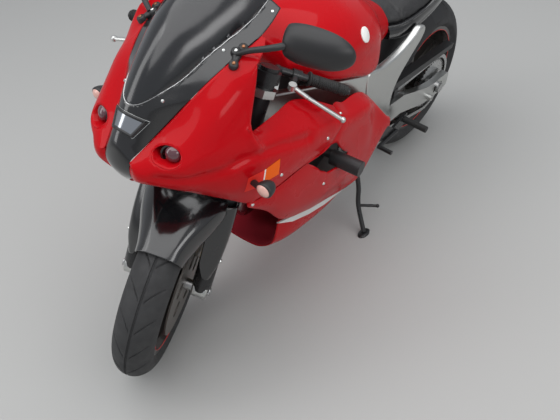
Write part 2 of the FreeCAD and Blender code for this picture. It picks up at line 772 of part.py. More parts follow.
PLATE_OUTLINE = [  # x and z: pivot plate, with the arm that rises to the seat
    (652, 704), (560, 690), (470, 694), (400, 716), (338, 742), (306, 726), (318, 690), (380, 640),
    (440, 590), (466, 540), (462, 470), (430, 420), (440, 352), (500, 330), (590, 330), (628, 372),
    (622, 470), (640, 560), (652, 596)]
INNER_BEAM = v.beam_spread - v.beam_thick


def ring_at(x, inner, outer, low, high, edge=9):
    """A beam's section across the bike, its outer corners cut off."""
    corners = [(inner, low), (outer - edge, low), (outer, low + edge), (outer, high - edge),
               (outer - edge, high), (inner, high)]
    points = [Vector(x, y, z) for y, z in corners]
    return Part.makePolygon(points + points[:1])


def make_beam():
    """Pivot plate, and the bar that closes in on the headstock with the engine's hanger below it."""
    side = side_plate("beam_plate", PLATE_OUTLINE, "beam_thick", v.beam_spread - v.beam_thick / 2)
    rear = ring_at(640, INNER_BEAM, v.beam_spread, 600, 702)
    seat = v.head_half + 0.3
    front = ring_at(1062, seat, seat + v.beam_thick, 700, 800)
    bar = feature("beam_bar", Part.makeLoft([rear, front], True, True))
    hanger = block("engine_hanger", (30, 24, 122), Vector(945, 87.3, 619))
    return join("beam", [side, bar, hanger])


beam_left = make_beam()
node(group("beam_left_group", [beam_left]), "frame_beam_left", CHASSIS)
node(group("beam_right_group", [mirrored("beam_mirrored", beam_left)]), "frame_beam_right", CHASSIS)


# Side stand's pin: its axis, and the way up square to it
STAND_PIVOT = Vector(v.stand_pivot_x, v.stand_pivot_y, v.stand_pivot_z)
STAND_AXIS = Rotation(X, v.stand_axis_tilt).multVec(Y)
STAND_UP = Rotation(X, v.stand_axis_tilt).multVec(Z)


def make_stand_bracket():
    """Lug square to the stand's pin, and the strut that hangs it from the left pivot plate."""
    lug = block("stand_lug", (44, 16, 58), STAND_PIVOT - STAND_AXIS * 18.3 + STAND_UP * 8,
                Rotation(X, v.stand_axis_tilt))
    strut = rod("stand_strut", 10, STAND_PIVOT - STAND_AXIS * 18.3 + STAND_UP * 30, Vector(572, 162, 322))
    foot = block("stand_plate", (44, 26, 12), Vector(566, 164, 323.7))
    return join("stand_bracket", [lug, strut, foot])


def make_cross_members():
    """Tubes that tie the two beams and carry swingarm and shock, the tank's rail, and the stand's lug."""
    pieces = []
    for name, x, z, radius in (("pivot", PIVOT.x, PIVOT.z, 14), ("upper", 560, 655, 18),
                               ("lower", 490, 345, 11)):  # middle x and z, radius
        pieces.append(rod("cross_" + name, radius, Vector(x, -INNER_BEAM, z), Vector(x, INNER_BEAM, z)))
    pieces.append(block("tank_rail", (24, 2 * INNER_BEAM - 5.6, 40), Vector(640, 0, 710.6)))
    pieces.append(make_stand_bracket())
    return group("cross_members", pieces)


node(make_cross_members(), "cross_members", CHASSIS)


CHAIN_FRONT = Vector(610, 0, 392)


def make_engine():
    """One plain block: crankcase, two cylinders in a vee, and round covers at its sides."""
    case = block("crankcase", (275, 2 * 118, 210), Vector(817.5, 0, 372))
    covers = [rod("cover_left", 88, Vector(794, 100, 372), Vector(794, 146, 372)),
              rod("cover_right", 96, Vector(790, -146, 372), Vector(790, -100, 372))]
    front = block("front_cylinder", (190, 150, 150), Vector(908, 0, 508), Rotation(Y, -38))
    rear = block("rear_cylinder", (150, 150, 190), Vector(706, 0, 560), Rotation(Y, -12))
    gearbox = block("gearbox", (105, 184, 150), Vector(637.5, 2, 400))
    sprocket = rod("output_sprocket", v.front_loop_radius - 0.3, CHAIN_FRONT + Y * 90, CHAIN_FRONT + Y * 117)
    return join("engine", [case, front, rear, gearbox, sprocket] + covers)


node(make_engine(), "engine", CHASSIS)


def make_radiator():
    core = block("radiator_core", (36, 290, 210), Vector(1080, 0, 550), Rotation(Y, 12))
    tanks = [block("radiator_tank_" + side_name, (46, 34, 220), Vector(1080, side * 160, 550),
                   Rotation(Y, 12)) for side_name, side in (("left", 1), ("right", -1))]
    hooks = []
    for side_name, side in (("left", 1), ("right", -1)):
        hooks.append(block("hook_foot_" + side_name, (60, 16, 12), Vector(1068, side * 74, 642)))
        hooks.append(block("hook_" + side_name, (20, 16, 56), Vector(1046, side * 74, 665.4)))
    return join("radiator", [core] + tanks + hooks)


node(make_radiator(), "radiator", CHASSIS)

# Swingarm and rear axle
ARM_MIDDLE = v.arm_inner + v.arm_thick / 2


def swing_leg(side_name, side):
    outline = [(PIVOT.x + 26, 424), (470, 448), (300, 432), (120, 368), (40, 352), (-70, 348),
               (-84, 338), (-84, 290), (-70, 280), (50, 280), (140, 300), (300, 352), (470, 360),
               (PIVOT.x + 26, 376)]
    return side_plate("swing_leg_" + side_name, outline, "arm_thick", side * ARM_MIDDLE)


HUB_RADIUS = 22
SEAT_GAP = 0.2
SPOOL = Vector(70, 0, 302)


def make_swingarm():
    legs = both_sides(swing_leg)
    brace = block("swing_brace", (64, 2 * v.arm_inner, 60), Vector(440, 0, 388))
    hub = rod("swing_hub", HUB_RADIUS, Vector(PIVOT.x, -v.arm_inner, PIVOT.z), Vector(PIVOT.x, v.arm_inner, PIVOT.z))
    holes = [cylinder("pivot_hole", 14.2, 400, Vector(PIVOT.x, -200, PIVOT.z), Y)]
    for side_name, side in (("left", 1), ("right", -1)):
        slot = side_plate("axle_slot_" + side_name, [(-32, 302), (32, 302), (32, 328), (-32, 328)],
                          "arm_thick + 10", side * ARM_MIDDLE)
        holes.append(slot)
    return cut("swingarm", join("swing_solid", legs + [brace, hub]), join("swing_holes", holes))


def spool_boss(side_name, side):
    """Threaded boss for a paddock stand's spool, on the arm's outer face."""
    start = Vector(SPOOL.x, side * (v.arm_inner + v.arm_thick + SEAT_GAP), SPOOL.z)
    ring = cylinder("spool_ring_" + side_name, "spool_radius + 8", "spool_depth", start, Y * side)
    hole = cylinder("spool_hole_" + side_name, "spool_radius", "spool_depth + 4", start - Y * side * 2,
                    Y * side)
    return cut("spool_boss_" + side_name, ring, hole)


node(make_swingarm(), "swingarm", CHASSIS)
node(group("spool_bosses", both_sides(spool_boss)), "spool_bosses", CHASSIS)


def make_rear_axle():
    """Axle, nuts, and the spacers between wheel and arms."""
    reach = v.arm_inner + v.arm_thick + 14
    bar = rod("rear_bar", "rear_axle_radius", REAR_AXLE - Y * reach, REAR_AXLE + Y * reach)
    outer = v.arm_inner + v.arm_thick
    left_in = v.chain_line + v.sprocket_thick / 2 + 0.5
    right_in = rear_face + v.rear_disc_thick + 0.5
    pieces = [bar,
              rod("axle_nut_left", 21, REAR_AXLE + Y * (outer + 0.2), REAR_AXLE + Y * (outer + 14)),
              rod("axle_nut_right", 21, REAR_AXLE - Y * (outer + 14), REAR_AXLE - Y * (outer + 0.2)),
              rod("rear_spacer_left", 18, REAR_AXLE + Y * left_in, REAR_AXLE + Y * (v.arm_inner - 0.2)),
              rod("rear_spacer_right", 18, REAR_AXLE - Y * (v.arm_inner - 0.2), REAR_AXLE - Y * right_in)]
    return join("rear_axle", pieces)


node(make_rear_axle(), "rear_axle", CHASSIS)


def make_chain():
    """The chain as one fixed loop, a little outside the teeth."""
    big = v.sprocket_radius + v.chain_gap
    small = v.front_loop_radius
    front = CHAIN_FRONT
    line = front - REAR_AXLE
    tilt = math.degrees(math.atan2(line.z, line.x))
    spread = math.degrees(math.asin((big - small) / line.Length))

    def loop(extra):
        """Outline of the belt round both sprockets, its outer or inner side."""
        rise = math.radians(tilt + 90 - spread)
        fall = math.radians(tilt - 90 + spread)
        rear_radius = big + extra
        front_radius = small + extra
        spots = []
        for centre, radius, angle in ((front, front_radius, fall), (front, front_radius, rise),
                                      (REAR_AXLE, rear_radius, rise), (REAR_AXLE, rear_radius, fall)):
            spots.append(centre + Vector(math.cos(angle) * radius, 0, math.sin(angle) * radius))
        nose = math.radians(tilt)
        front_tip = front + Vector(math.cos(nose) * front_radius, 0, math.sin(nose) * front_radius)
        rear_tip = REAR_AXLE - Vector(math.cos(nose) * rear_radius, 0, math.sin(nose) * rear_radius)
        return Part.Wire([Part.Arc(spots[0], front_tip, spots[1]).toShape(),
                          Part.LineSegment(spots[1], spots[2]).toShape(),
                          Part.Arc(spots[2], rear_tip, spots[3]).toShape(),
                          Part.LineSegment(spots[3], spots[0]).toShape()])

    outer = Part.Face(loop(v.chain_height))
    inner = Part.Face(loop(0))
    belt = outer.cut(inner).extrude(Y * v.chain_width)
    belt.translate(Y * (v.chain_line - v.chain_width / 2))
    return feature("chain", belt)


node(make_chain(), "chain", CHASSIS)


def make_hugger():
    """Mudguard over the rear tyre's front half, with the chain guard on its left edge."""
    wires = []
    for angle in (22, 37, 52, 67, 82, 97):
        turn = math.radians(angle)
        spoke = Vector(math.cos(turn), 0, math.sin(turn))
        crown = REAR_AXLE + spoke * (v.rear_tyre_radius + 20)
        edge = REAR_AXLE + spoke * (v.rear_tyre_radius - 40)
        half = v.rear_tyre_width / 2 + 6
        outer = [edge + Y * half, crown, edge - Y * half]
        inner = [point - spoke * 3 for point in outer]
        inner[0] -= Y * 3
        inner[2] += Y * 3
        wires.append(strip_wire(outer, inner))
    hood = feature("hugger_hood", Part.makeLoft(wires, True, True))
    guard_y = v.chain_line + v.chain_width / 2 + 12
    back = REAR_AXLE.z + v.sprocket_radius + 41
    front = CHAIN_FRONT.z + v.front_loop_radius + 66
    guard = side_plate("guard_side", [(372, front), (-105, back), (-98, back - 20), (372, front - 30)], 4,
                       guard_y)
    top = side_plate("guard_top", [(372, front), (-105, back), (-105, back - 6), (372, front - 6)], 34,
                     guard_y - 15)
    turn = math.radians(36)
    strut_at = REAR_AXLE + Vector(math.cos(turn), 0, math.sin(turn)) * (v.rear_tyre_radius - 30)
    share = (strut_at.x + 105) / 477
    on_guard = back + (front - back) * share - 12
    web = rod("guard_web", 5, strut_at + Y * (half - 8), Vector(strut_at.x, guard_y, on_guard))
    foot = block("guard_foot", (24, 8, 33), Vector(340, guard_y, 453.8))
    return join("rear_hugger", [hood, guard, top, web, foot])


node(make_hugger(), "rear_hugger", CHASSIS)


# Shock: where its eyes sit, and its spring's turns
SHOCK_LOW = Vector(455, 0, 422.2)
SHOCK_HIGH = Vector(560, 0, 655)
SHOCK_SEAT = 18.3
SPRING_TURNS = 7
SPRING_WIRE = 11
SPRING_RADIUS = 30
ROD_RADIUS = 9
CAN_RADIUS = 21
COLLAR_RADIUS = 32
COLLAR_THICK = 6


def make_shock():
    """Coil-over unit between the swingarm's brace and the frame, turned from one profile:
    damper rod, collar, the spring's turns as half rounds, collar, can."""
    line = SHOCK_HIGH - SHOCK_LOW
    length = line.Length - SHOCK_SEAT
    foot = 40
    head = length - 60
    corners = [(0, 0), (ROD_RADIUS, 0), (ROD_RADIUS, foot - COLLAR_THICK),
               (COLLAR_RADIUS, foot - COLLAR_THICK), (COLLAR_RADIUS, foot), (CAN_RADIUS, foot)]
    edges = [Part.LineSegment(Vector(*a), Vector(*b)).toShape() for a, b in zip(corners, corners[1:])]
    pitch = (head - foot) / SPRING_TURNS
    at = Vector(*corners[-1])
    for turn in range(SPRING_TURNS):
        middle = foot + pitch * (turn + 0.5)
        start = Vector(CAN_RADIUS, middle - SPRING_WIRE / 2)
        end = Vector(CAN_RADIUS, middle + SPRING_WIRE / 2)
        edges.append(Part.LineSegment(at, start).toShape())
        edges.append(Part.Arc(start, Vector(SPRING_RADIUS, middle), end).toShape())
        at = end
    corners = [(at.x, at.y), (CAN_RADIUS, head), (COLLAR_RADIUS, head), (COLLAR_RADIUS, head + COLLAR_THICK),
               (CAN_RADIUS + 1, head + COLLAR_THICK), (CAN_RADIUS + 1, length - 10),
               (ROD_RADIUS, length - 10), (ROD_RADIUS, length), (0, length), (0, 0)]
    edges += [Part.LineSegment(Vector(*a), Vector(*b)).toShape() for a, b in zip(corners, corners[1:])]
    turned = Part.Face(Part.Wire(edges)).revolve(Vector(), Y, 360)
    shock = feature("shock", turned)
    shock.Placement = Placement(SHOCK_LOW, Rotation(Y, line))
    return shock


node(make_shock(), "shock", CHASSIS)


def make_rear_caliper():
    y = -(rear_face + v.rear_disc_thick / 2)
    body = block("rear_caliper_block", (70, 46, 44), Vector(86, y - 4, 398), Rotation(Y, -30))
    slot = cylinder("rear_caliper_slot", "rear_disc_radius + 5.5", "rear_disc_thick + 11",
                    REAR_AXLE + Y * (y - (v.rear_disc_thick + 11) / 2), Y)
    arm = block("rear_caliper_arm", (50, 20, 70), Vector(86, 10.3 - v.arm_inner, 360))
    return cut("rear_caliper", join("rear_caliper_solid", [body, arm]), slot)


node(make_rear_caliper(), "rear_caliper", CHASSIS)

# Exhaust
SILENCER_FROM = Vector(236, -228, 332)
SILENCER_LINE = Vector(-520, 0, 125).normalize()
SILENCER_NOSE = 46
PORT = Vector(982, -30, 470.2)
PORT_LINE = Rotation(Y, -38).multVec(-Z)


def make_exhaust():
    """Pipe from the front cylinder under the engine to the silencer."""
    nose = SILENCER_FROM - SILENCER_LINE * (SILENCER_NOSE + 0.3)
    return pipe("exhaust_pipe", [PORT + PORT_LINE * 0.3, PORT + PORT_LINE * 27, Vector(1000, -34, 238),
                                 Vector(656, -62, 238), Vector(590, -84, 262), nose - SILENCER_LINE * 99,
                                 nose], v.pipe_radius, 36)


node(make_exhaust(), "exhaust_pipe", CHASSIS)


def make_silencer():
    end = SILENCER_FROM + SILENCER_LINE * v.silencer_length
    body = rod("silencer_body", "silencer_radius", SILENCER_FROM, end)
    nose = cone("silencer_nose", 30, v.silencer_radius, SILENCER_FROM - SILENCER_LINE * SILENCER_NOSE,
                SILENCER_FROM)
    tail = cone("silencer_tail", v.silencer_radius, 40, end, end + SILENCER_LINE * 26)
    outlet = rod("silencer_outlet", 24, end - SILENCER_LINE * 20, end + SILENCER_LINE * 60)
    return cut("silencer", join("silencer_solid", [body, nose, tail]), outlet)


node(make_silencer(), "silencer", CHASSIS)

# Tank, seat and tail
TANK = [  # x, then half section from the top's middle to the bottom's middle
    (985, [(0, 905), (70, 896), (98, 868), (96, 842), (78, 826), (40, 824), (0, 824)]),
    (925, [(0, 950), (96, 930), (146, 880), (150, 840), (120, 812), (60, 808), (0, 808)]),
    (850, [(0, 966), (112, 938), (170, 880), (178, 826), (150, 786), (70, 780), (0, 780)]),
    (740, [(0, 960), (118, 930), (176, 868), (180, 808), (152, 762), (70, 756), (0, 756)]),
    (620, [(0, 924), (108, 898), (160, 840), (164, 778), (146, 736), (70, 730), (0, 730)]),
    (520, [(0, 868), (84, 852), (126, 810), (140, 762), (130, 722), (60, 716), (0, 716)]),
    (452, [(0, 824), (62, 818), (96, 792), (110, 762), (104, 728), (50, 720), (0, 720)]),
]
node(hull("fuel_tank", TANK), "fuel_tank", CHASSIS)

SEAT = [
    (451.7, [(0, 818), (60, 812), (92, 790), (98, 772), (92, 758), (50, 756), (0, 756)]),
    (380, [(0, 806), (84, 802), (124, 782), (130, 764), (122, 752), (60, 750), (0, 750)]),
    (250, [(0, 812), (104, 808), (138, 790), (144, 776), (136, 764), (70, 762), (0, 762)]),
    (140, [(0, 838), (96, 834), (132, 818), (138, 806), (130, 796), (60, 794), (0, 794)]),
    (60, [(0, 884), (76, 878), (104, 862), (108, 850), (102, 840), (50, 838), (0, 838)]),
    (-120, [(0, 912), (66, 906), (90, 892), (94, 882), (88, 874), (40, 872), (0, 872)]),
    (-200, [(0, 918), (50, 914), (66, 904), (68, 896), (64, 890), (30, 888), (0, 888)]),
]
node(hull("seat", SEAT), "seat", CHASSIS)


def grown(stations, gap):
    """The same stations, outwards by a gap: what rests against the form is cut with these."""
    bigger = []
    for index, (x, points) in enumerate(stations):
        middle = (points[0][1] + points[-1][1]) / 2
        ahead = gap if index == 0 else -gap if index == len(stations) - 1 else 0
        bigger.append((x + ahead, [(y + gap if y else 0, z + math.copysign(gap, z - middle))
                                   for y, z in points]))
    return bigger


TAIL = [  # black tail: x, then (y, z) of its left half round the underside
    (446, [(0, 755), (96, 757), (112, 748), (118, 728), (112, 712), (60, 706), (0, 706)]),
    (380, [(0, 755), (124, 757), (138, 748), (143, 726), (132, 704), (60, 700), (0, 700)]),
    (250, [(0, 768), (136, 770), (145, 760), (147, 738), (138, 716), (60, 706), (0, 706)]),
    (140, [(0, 800), (132, 801), (144, 788), (146, 762), (132, 736), (60, 724), (0, 724)]),
    (60, [(0, 837), (104, 839), (130, 826), (136, 796), (120, 764), (50, 748), (0, 748)]),
    (-120, [(0, 871), (90, 873), (108, 860), (112, 834), (96, 806), (40, 792), (0, 792)]),
    (-200, [(0, 887), (66, 889), (92, 880), (96, 856), (80, 830), (36, 818), (0, 818)]),
    (-330, [(0, 916), (34, 915), (50, 908), (52, 892), (42, 876), (20, 868), (0, 868)]),
]
node(cut("tail_cowl", hull("tail_form", TAIL), hull("seat_room", grown(SEAT, v.joint_gap))),
     "tail_cowl", CHASSIS)

node(block("tail_lamp", (16, 84, 34), Vector(-338.3, 0, 890)), "tail_lamp", CHASSIS)


def make_undertray():
    """Rear mudguard under the tail, with its blank number plate."""
    slope = math.degrees(math.atan2(100, 210))
    tray = side_plate("tray", [(180, 718), (140, 728), (60, 752), (-120, 796), (-200, 822), (-300, 850),
                               (-400, 640), (-392, 636), (-290, 820), (-190, 798), (-110, 774),
                               (180, 704)], 130, 0)
    board = block("plate_board", (3, 180, 130), Vector(-384.1, 0, 676.7), Rotation(Y, slope))
    room = hull("tail_room", grown(TAIL, v.joint_gap))
    return cut("undertray", join("tray_solid", [tray, board]), room)


node(make_undertray(), "undertray", CHASSIS)


# Bodywork
NOSE_SIDE = [
    (1277, [(130, 1009), (185, 960), (212, 880), (244, 820), (212, 640)]),
    (1335, [(112, 972), (170, 930), (204, 850), (222, 790), (190, 672)]),
    (1400, [(80, 908), (142, 888), (174, 840), (178, 790), (140, 705)]),
    (1450, [(60, 866), (116, 858), (146, 826), (148, 790), (95, 735)]),
    (1500, [(40, 826), (62, 820), (76, 800), (72, 778), (45, 755)]),
]
TONGUE = [
    (1163, [(146, 1047), (154, 1047), (162, 1044)]),
    (1225, [(141, 1030), (166, 1030), (188, 1022)]),
    (1277, [(130, 1009), (185, 960), (212, 880)]),
]
SHOULDER = [
    (905, [(222, 738), (248, 716), (250, 700)]),
    (960, [(196, 786), (248, 728), (250, 662)]),
    (1041, [(166, 816), (250, 752), (250, 664)]),
    (1128, [(178, 829), (250, 782), (248, 668)]),
    (1277, [(212, 880), (244, 820), (212, 640)]),
]


def make_upper_fairing():
    front = panel("nose_side", NOSE_SIDE, v.skin)
    tongue = panel("mirror_tongue", TONGUE, v.skin)
    shoulder = panel("shoulder", SHOULDER, v.skin)
    skin = join("upper_skin", [front, tongue, shoulder])
    eye = rod("headlamp_hole", 34, Vector(1560, 168, 878), Vector(1380, 126, 848))
    return cut("upper_fairing", skin, eye)


upper_left = make_upper_fairing()
upper_right = mirrored("upper_mirrored", upper_left)
node(group("upper_left_group", [upper_left]), "upper_fairing_left", CHASSIS)
node(group("upper_right_group", [upper_right]), "upper_fairing_right", CHASSIS)

def signal(name, root, out, radius):
    """Stalk and round-nosed lamp body of a turn signal, its lens facing along X."""
    stalk = rod(name + "_stalk", 9, root, root + out)
    lamp = egg(name + "_lamp", radius * 0.8, radius * 1.3, radius, Placement(root + out, Rotation()))
    return join(name, [stalk, lamp])


FRONT_SIGNAL = Vector(1290, 239, 742)
SIGNAL_OUT = Vector(20, 60, 8)
node(group("signals", [
    cut("signal_on_left", signal("front_signal_left", FRONT_SIGNAL, SIGNAL_OUT, 26), upper_left),
    cut("signal_on_right", signal("front_signal_right", flipped(FRONT_SIGNAL, -1),
                                  flipped(SIGNAL_OUT, -1), 26), upper_right),
    signal("rear_signal_left", Vector(-333, 65.3, 762), Vector(0, 58, 0), 22),
    signal("rear_signal_right", Vector(-333, -65.3, 762), Vector(0, -58, 0), 22)]), "signals", CHASSIS)

LOWER_SIDE = [
    (600, [(238, 545), (240, 530), (240, 500)]),
    (680, [(214, 640), (240, 520), (228, 364)]),
    (740, [(222, 690), (246, 530), (214, 334)]),
    (850, [(238, 684), (250, 530), (204, 350)]),
    (960, [(249.5, 661.6), (252, 540), (200, 376)]),
    (1100, [(248, 665), (246, 560), (208, 446)]),
    (1200, [(232, 653.5), (228, 600), (208, 545)]),
    (1270, [(216, 638), (213, 630), (210, 620)]),
]


# Crash slider's bolt, from the front cylinder's side out through the fairing
SLIDER_FROM = Vector(905, 76.3, 560)
SLIDER_TO = Vector(880, v.slider_end, 558)


# The slanted vent beside the radiator: its corners in x and z
SIDE_OPENING = [(1064, 655), (948, 643), (826, 558), (896, 534), (945, 544)]


def make_lower_fairing():
    skin = panel("lower_skin", LOWER_SIDE, v.skin)
    opening = side_plate("side_opening", SIDE_OPENING, 120, 230)
    hole = rod("slider_hole", v.slider_radius + 1.5, SLIDER_FROM, SLIDER_TO)
    return cut("lower_fairing", skin, join("lower_openings", [opening, hole]))


lower_left = make_lower_fairing()
lower_right = mirrored("lower_mirrored", lower_left)
node(group("lower_left_group", [lower_left]), "lower_fairing_left", CHASSIS)
node(group("lower_right_group", [lower_right]), "lower_fairing_right", CHASSIS)

BELLY = [
    (600, [(172, 330), (150, 262), (96, 214), (50, 206), (0, 205)]),
    (750, [(186, 312), (160, 228), (100, 186), (50, 177), (0, 175)]),
    (950, [(190, 352), (168, 254), (104, 196), (50, 184), (0, 182)]),
    (1075, [(176, 400), (160, 290), (112, 236), (60, 220), (0, 216)]),
]


def make_belly_pan():
    skin = panel("belly_skin", BELLY, v.skin)
    tab = block("belly_tab", (30, 8.6, 50), Vector(880, 186.6, 357))
    hook = block("belly_hook", (30, 24, 24), Vector(880, 194, 370))
    left = join("belly_left", [skin, tab, hook])
    both = join("belly_both", [left, mirrored("belly_right", left)])
    return cut("belly_pan", both, join("lower_both", [lower_left, lower_right]))


node(make_belly_pan(), "belly_pan", CHASSIS)

NOSE = [  # black nose: edge (x, y, z) and crown (x, z)
    ((1476, 14, 748), (1487, 748)),
    ((1500, 39.5, 790), (1514, 798)),
    ((1499, 39, 826), (1511, 846)),
    ((1449, 59, 867), (1483, 902)),
    ((1399, 79, 909), (1452, 944)),
]
node(bridge("nose_panel", NOSE, v.skin), "nose_panel", CHASSIS)

SCREEN = [
    ((1398, 79, 911), (1452, 946)),
    ((1334, 111, 975), (1386, 1036)),
    ((1276, 129, 1012), (1320, 1092)),
    ((1163, 144, 1050), (1215, 1152)),
    ((1080, 140, 1085), (1110, 1192)),
]
node(bridge("windscreen", SCREEN, v.screen_skin), "windscreen", CHASSIS)

node(group("headlamps", [
    rod("lamp_left", 33, Vector(1400, 130, 852), Vector(1452, 143, 861)),
    rod("lamp_right", 33, Vector(1400, -130, 852), Vector(1452, -143, 861)),
    block("nose_lens", (6, 60, 46), Vector(1487.6, 0, 901.5), Rotation(Y, -32))]), "headlamps", CHASSIS)


# Instrument pod: its middle, its tilt, and the stay's end ahead of it
POD = Vector(1240, 0, 990)
POD_TURN = Rotation(Y, 28)
POD_DEPTH = 46
POD_STUB = POD + POD_TURN.multVec(X) * 68


def make_fairing_stay():
    """Bracket ahead of the headstock that carries lamps, instruments and the upper fairing."""
    neck = STEER_POINT + FORK_UP * 520 + FORK_AHEAD * (v.headstock_radius + 1)
    tip = Vector(1370, 0, 850)
    bar = rod("stay_bar", 15, neck, tip)
    cross = rod("stay_cross", 10, Vector(1370, -180, 846), Vector(1370, 180, 846))
    riser = rod("stay_riser", 10, Vector(1292, 0, 818), POD_STUB)
    stub = rod("stay_stub", 10, POD_STUB, POD + POD_TURN.multVec(X) * (POD_DEPTH / 2 + 0.3))
    solid = join("stay_solid", [bar, cross, riser, stub])
    return cut("fairing_stay", solid, join("both_fairings", [upper_left, upper_right]))


node(make_fairing_stay(), "fairing_stay", CHASSIS)


def make_instruments():
    pod = block("pod", (POD_DEPTH, 200, 86), POD, POD_TURN)
    dial = rod("dial", 36, Vector(1236, 0, 992), Vector(1206, 0, 1008))
    return join("instruments", [pod, dial])


node(make_instruments(), "instruments", CHASSIS)


# Mirrors: the slope that their feet stand on, and where the glass lies in the housing
MIRROR_FOOT = Vector(1201, 160, 1041.1)
MIRROR_SLOPE = Rotation(Y, 15.3)
GLASS_AT = -6
HOUSING = [  # across the bike, then the housing's half height and its depth there
    (-84, 14, 10), (-52, 38, 30), (0, 50, 42), (50, 44, 36), (78, 26, 20), (87, 10, 8)]


def housing_place(side):
    return Placement(Vector(1130, side * 306, 1074), Rotation(Z, side * 14))


def mirror(side_name, side):
    """Three-point foot, stalk, and a teardrop housing with its glass facing back."""
    place = housing_place(side)
    foot = block("mirror_foot_" + side_name, (56, 30, 8), flipped(MIRROR_FOOT, side), MIRROR_SLOPE)
    stalk = rod("mirror_stalk_" + side_name, 8, flipped(MIRROR_FOOT, side),
                place.multVec(Vector(12, -side * 45, 0)))
    rings = []
    for across, tall, deep in HOUSING:
        top = Vector(GLASS_AT, side * across, tall)
        low = Vector(GLASS_AT, side * across, -tall)
        front = Vector(deep, side * across, 0)
        rings.append(Part.Wire([Part.Arc(top, front, low).toShape(), Part.LineSegment(low, top).toShape()]))
    shell = feature("mirror_shell_" + side_name, Part.makeLoft(rings, True, True))
    shell.Placement = place
    solid = join("mirror_solid_" + side_name, [foot, stalk, shell])
    return cut("mirror_" + side_name, solid, upper_left if side > 0 else upper_right)


def mirror_glass(side_name, side):
    place = housing_place(side)
    edge = [(side * across * 0.9, tall * 0.84) for across, tall, deep in HOUSING]
    outline = edge + [(y, -z) for y, z in edge[::-1]]
    behind = Placement(Vector(GLASS_AT - 1.8, 0, 0), Rotation(Vector(1, 1, 1), 120))
    return plate("glass_" + side_name, outline, 3, place * behind)


node(group("mirrors", both_sides(mirror)), "mirrors", CHASSIS)
node(group("mirror_glass", both_sides(mirror_glass)), "mirror_glass", CHASSIS)


def crash_slider(side_name, side):
    start = flipped(SLIDER_FROM, side)
    end = flipped(SLIDER_TO, side)
    line = end - start
    return join("slider_" + side_name, [rod("slider_bolt_" + side_name, 9, start, start + line * 0.8),
                                        rod("slider_puck_" + side_name, "slider_radius",
                                            start + line * 0.6, end)])


node(group("crash_sliders", both_sides(crash_slider)), "crash_sliders", CHASSIS)


def scoop(side_name, side):
    """Silver crescent under the lower fairing's edge."""
    outline = [(1108, 424), (1030, 372), (940, 336), (850, 312), (724, 300), (745, 322), (850, 340),
               (940, 362), (1030, 396)]
    return side_plate("scoop_" + side_name, outline, 5, side * 193.7)


node(group("side_scoops", both_sides(scoop)), "side_scoops", CHASSIS)


def hanger(side_name, side):
    """Cast plate behind the pivot that carries the footrest and, ahead of it, the foot lever."""
    body = side_plate("hanger_plate_" + side_name, [(560, 440), (520, 446), (420, 372), (330, 392),
                                                    (322, 348), (410, 330), (530, 372), (570, 400)],
                      10, side * (v.beam_spread + 5.2))
    y = side * (v.beam_spread + 15)
    arm = rod("pedal_arm_" + side_name, 7, Vector(400, y, 352), Vector(520, y, 350))
    peg = rod("pedal_peg_" + side_name, 8, Vector(520, y - side * 4, 350), Vector(520, y + side * 52, 350))
    return join("hanger_" + side_name, [body, arm, peg])


def footrest(side_name, side):
    start = Vector(344, side * (v.beam_spread + 10.4), 368)
    return cylinder("footrest_" + side_name, "peg_radius", "peg_length", start, Y * side)


node(group("footrest_hangers", both_sides(hanger)), "footrest_hangers", CHASSIS)
node(group("footrests", both_sides(footrest)), "footrests", CHASSIS)


# Side stand
def make_side_stand():
    """Leg from its pivot out and down to a flat foot, and the tang a boot pushes."""
    pivot = STAND_PIVOT
    upright = CHASSIS.inverse()
    floor_foot = Vector(v.stand_foot_x - v.origin_x, v.stand_foot_out - v.origin_y, 0)
    foot = upright.multVec(floor_foot + Z * 6)
    leg_end = upright.multVec(floor_foot + Z * 14)
    boss = rod("stand_boss", 17, pivot - STAND_AXIS * 10, pivot + STAND_AXIS * 10)
    leg = rod("stand_leg", "stand_leg_radius", pivot, leg_end)
    pad = doc.addObject("Part::Cylinder", "stand_pad")
    pad.Radius = 30
    pad.Height = 8
    pad.Placement = upright * Placement(floor_foot, Rotation())
    ankle = rod("stand_ankle", "stand_leg_radius", leg_end, foot)
    low = pivot + (leg_end - pivot) * 0.66
    tang = rod("stand_tang", 6, low, low + Vector(-26, 62, 8))
    return join("side_stand", [boss, leg, pad, ankle, tang])


node(make_side_stand(), "side_stand", CHASSIS)


doc.recompute()

# Check every object, then write one file for each sub-part
os.makedirs("parts", exist_ok=True)
faults = [item.Name for item in doc.Objects if {"Invalid", "Error"} & set(item.State)]
for piece in NODES:
    if piece.Shape.isNull() or not piece.Shape.isValid() or piece.Shape.Volume <= 0:
        faults.append(piece.Label)
if faults:
    raise RuntimeError("these objects failed: " + ", ".join(faults))
reach = FreeCAD.BoundBox()
for piece in NODES:
    piece.Shape.exportStep(f"parts/{piece.Label}.step")
    reach.add(piece.Shape.optimalBoundingBox(False, False))
print(f"{len(NODES)} sub-parts; box X {reach.XMin:.1f} to {reach.XMax:.1f}, "
      f"Y {reach.YMin:.1f} to {reach.YMax:.1f}, Z {reach.ZMin:.1f} to {reach.ZMax:.1f}")
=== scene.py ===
# %% [markdown]
# # A faired sport bike, parked on its side stand
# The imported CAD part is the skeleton: every wheel, tube and bracket already has its real place.
# This lesson dresses it. Each cell first says what the piece is on the real bike, then how its
# surface is worked out with numpy, and prints what it made.

# %% Load the frame
import json
import math

import bpy
import numpy as np
from mathutils import Matrix, Vector


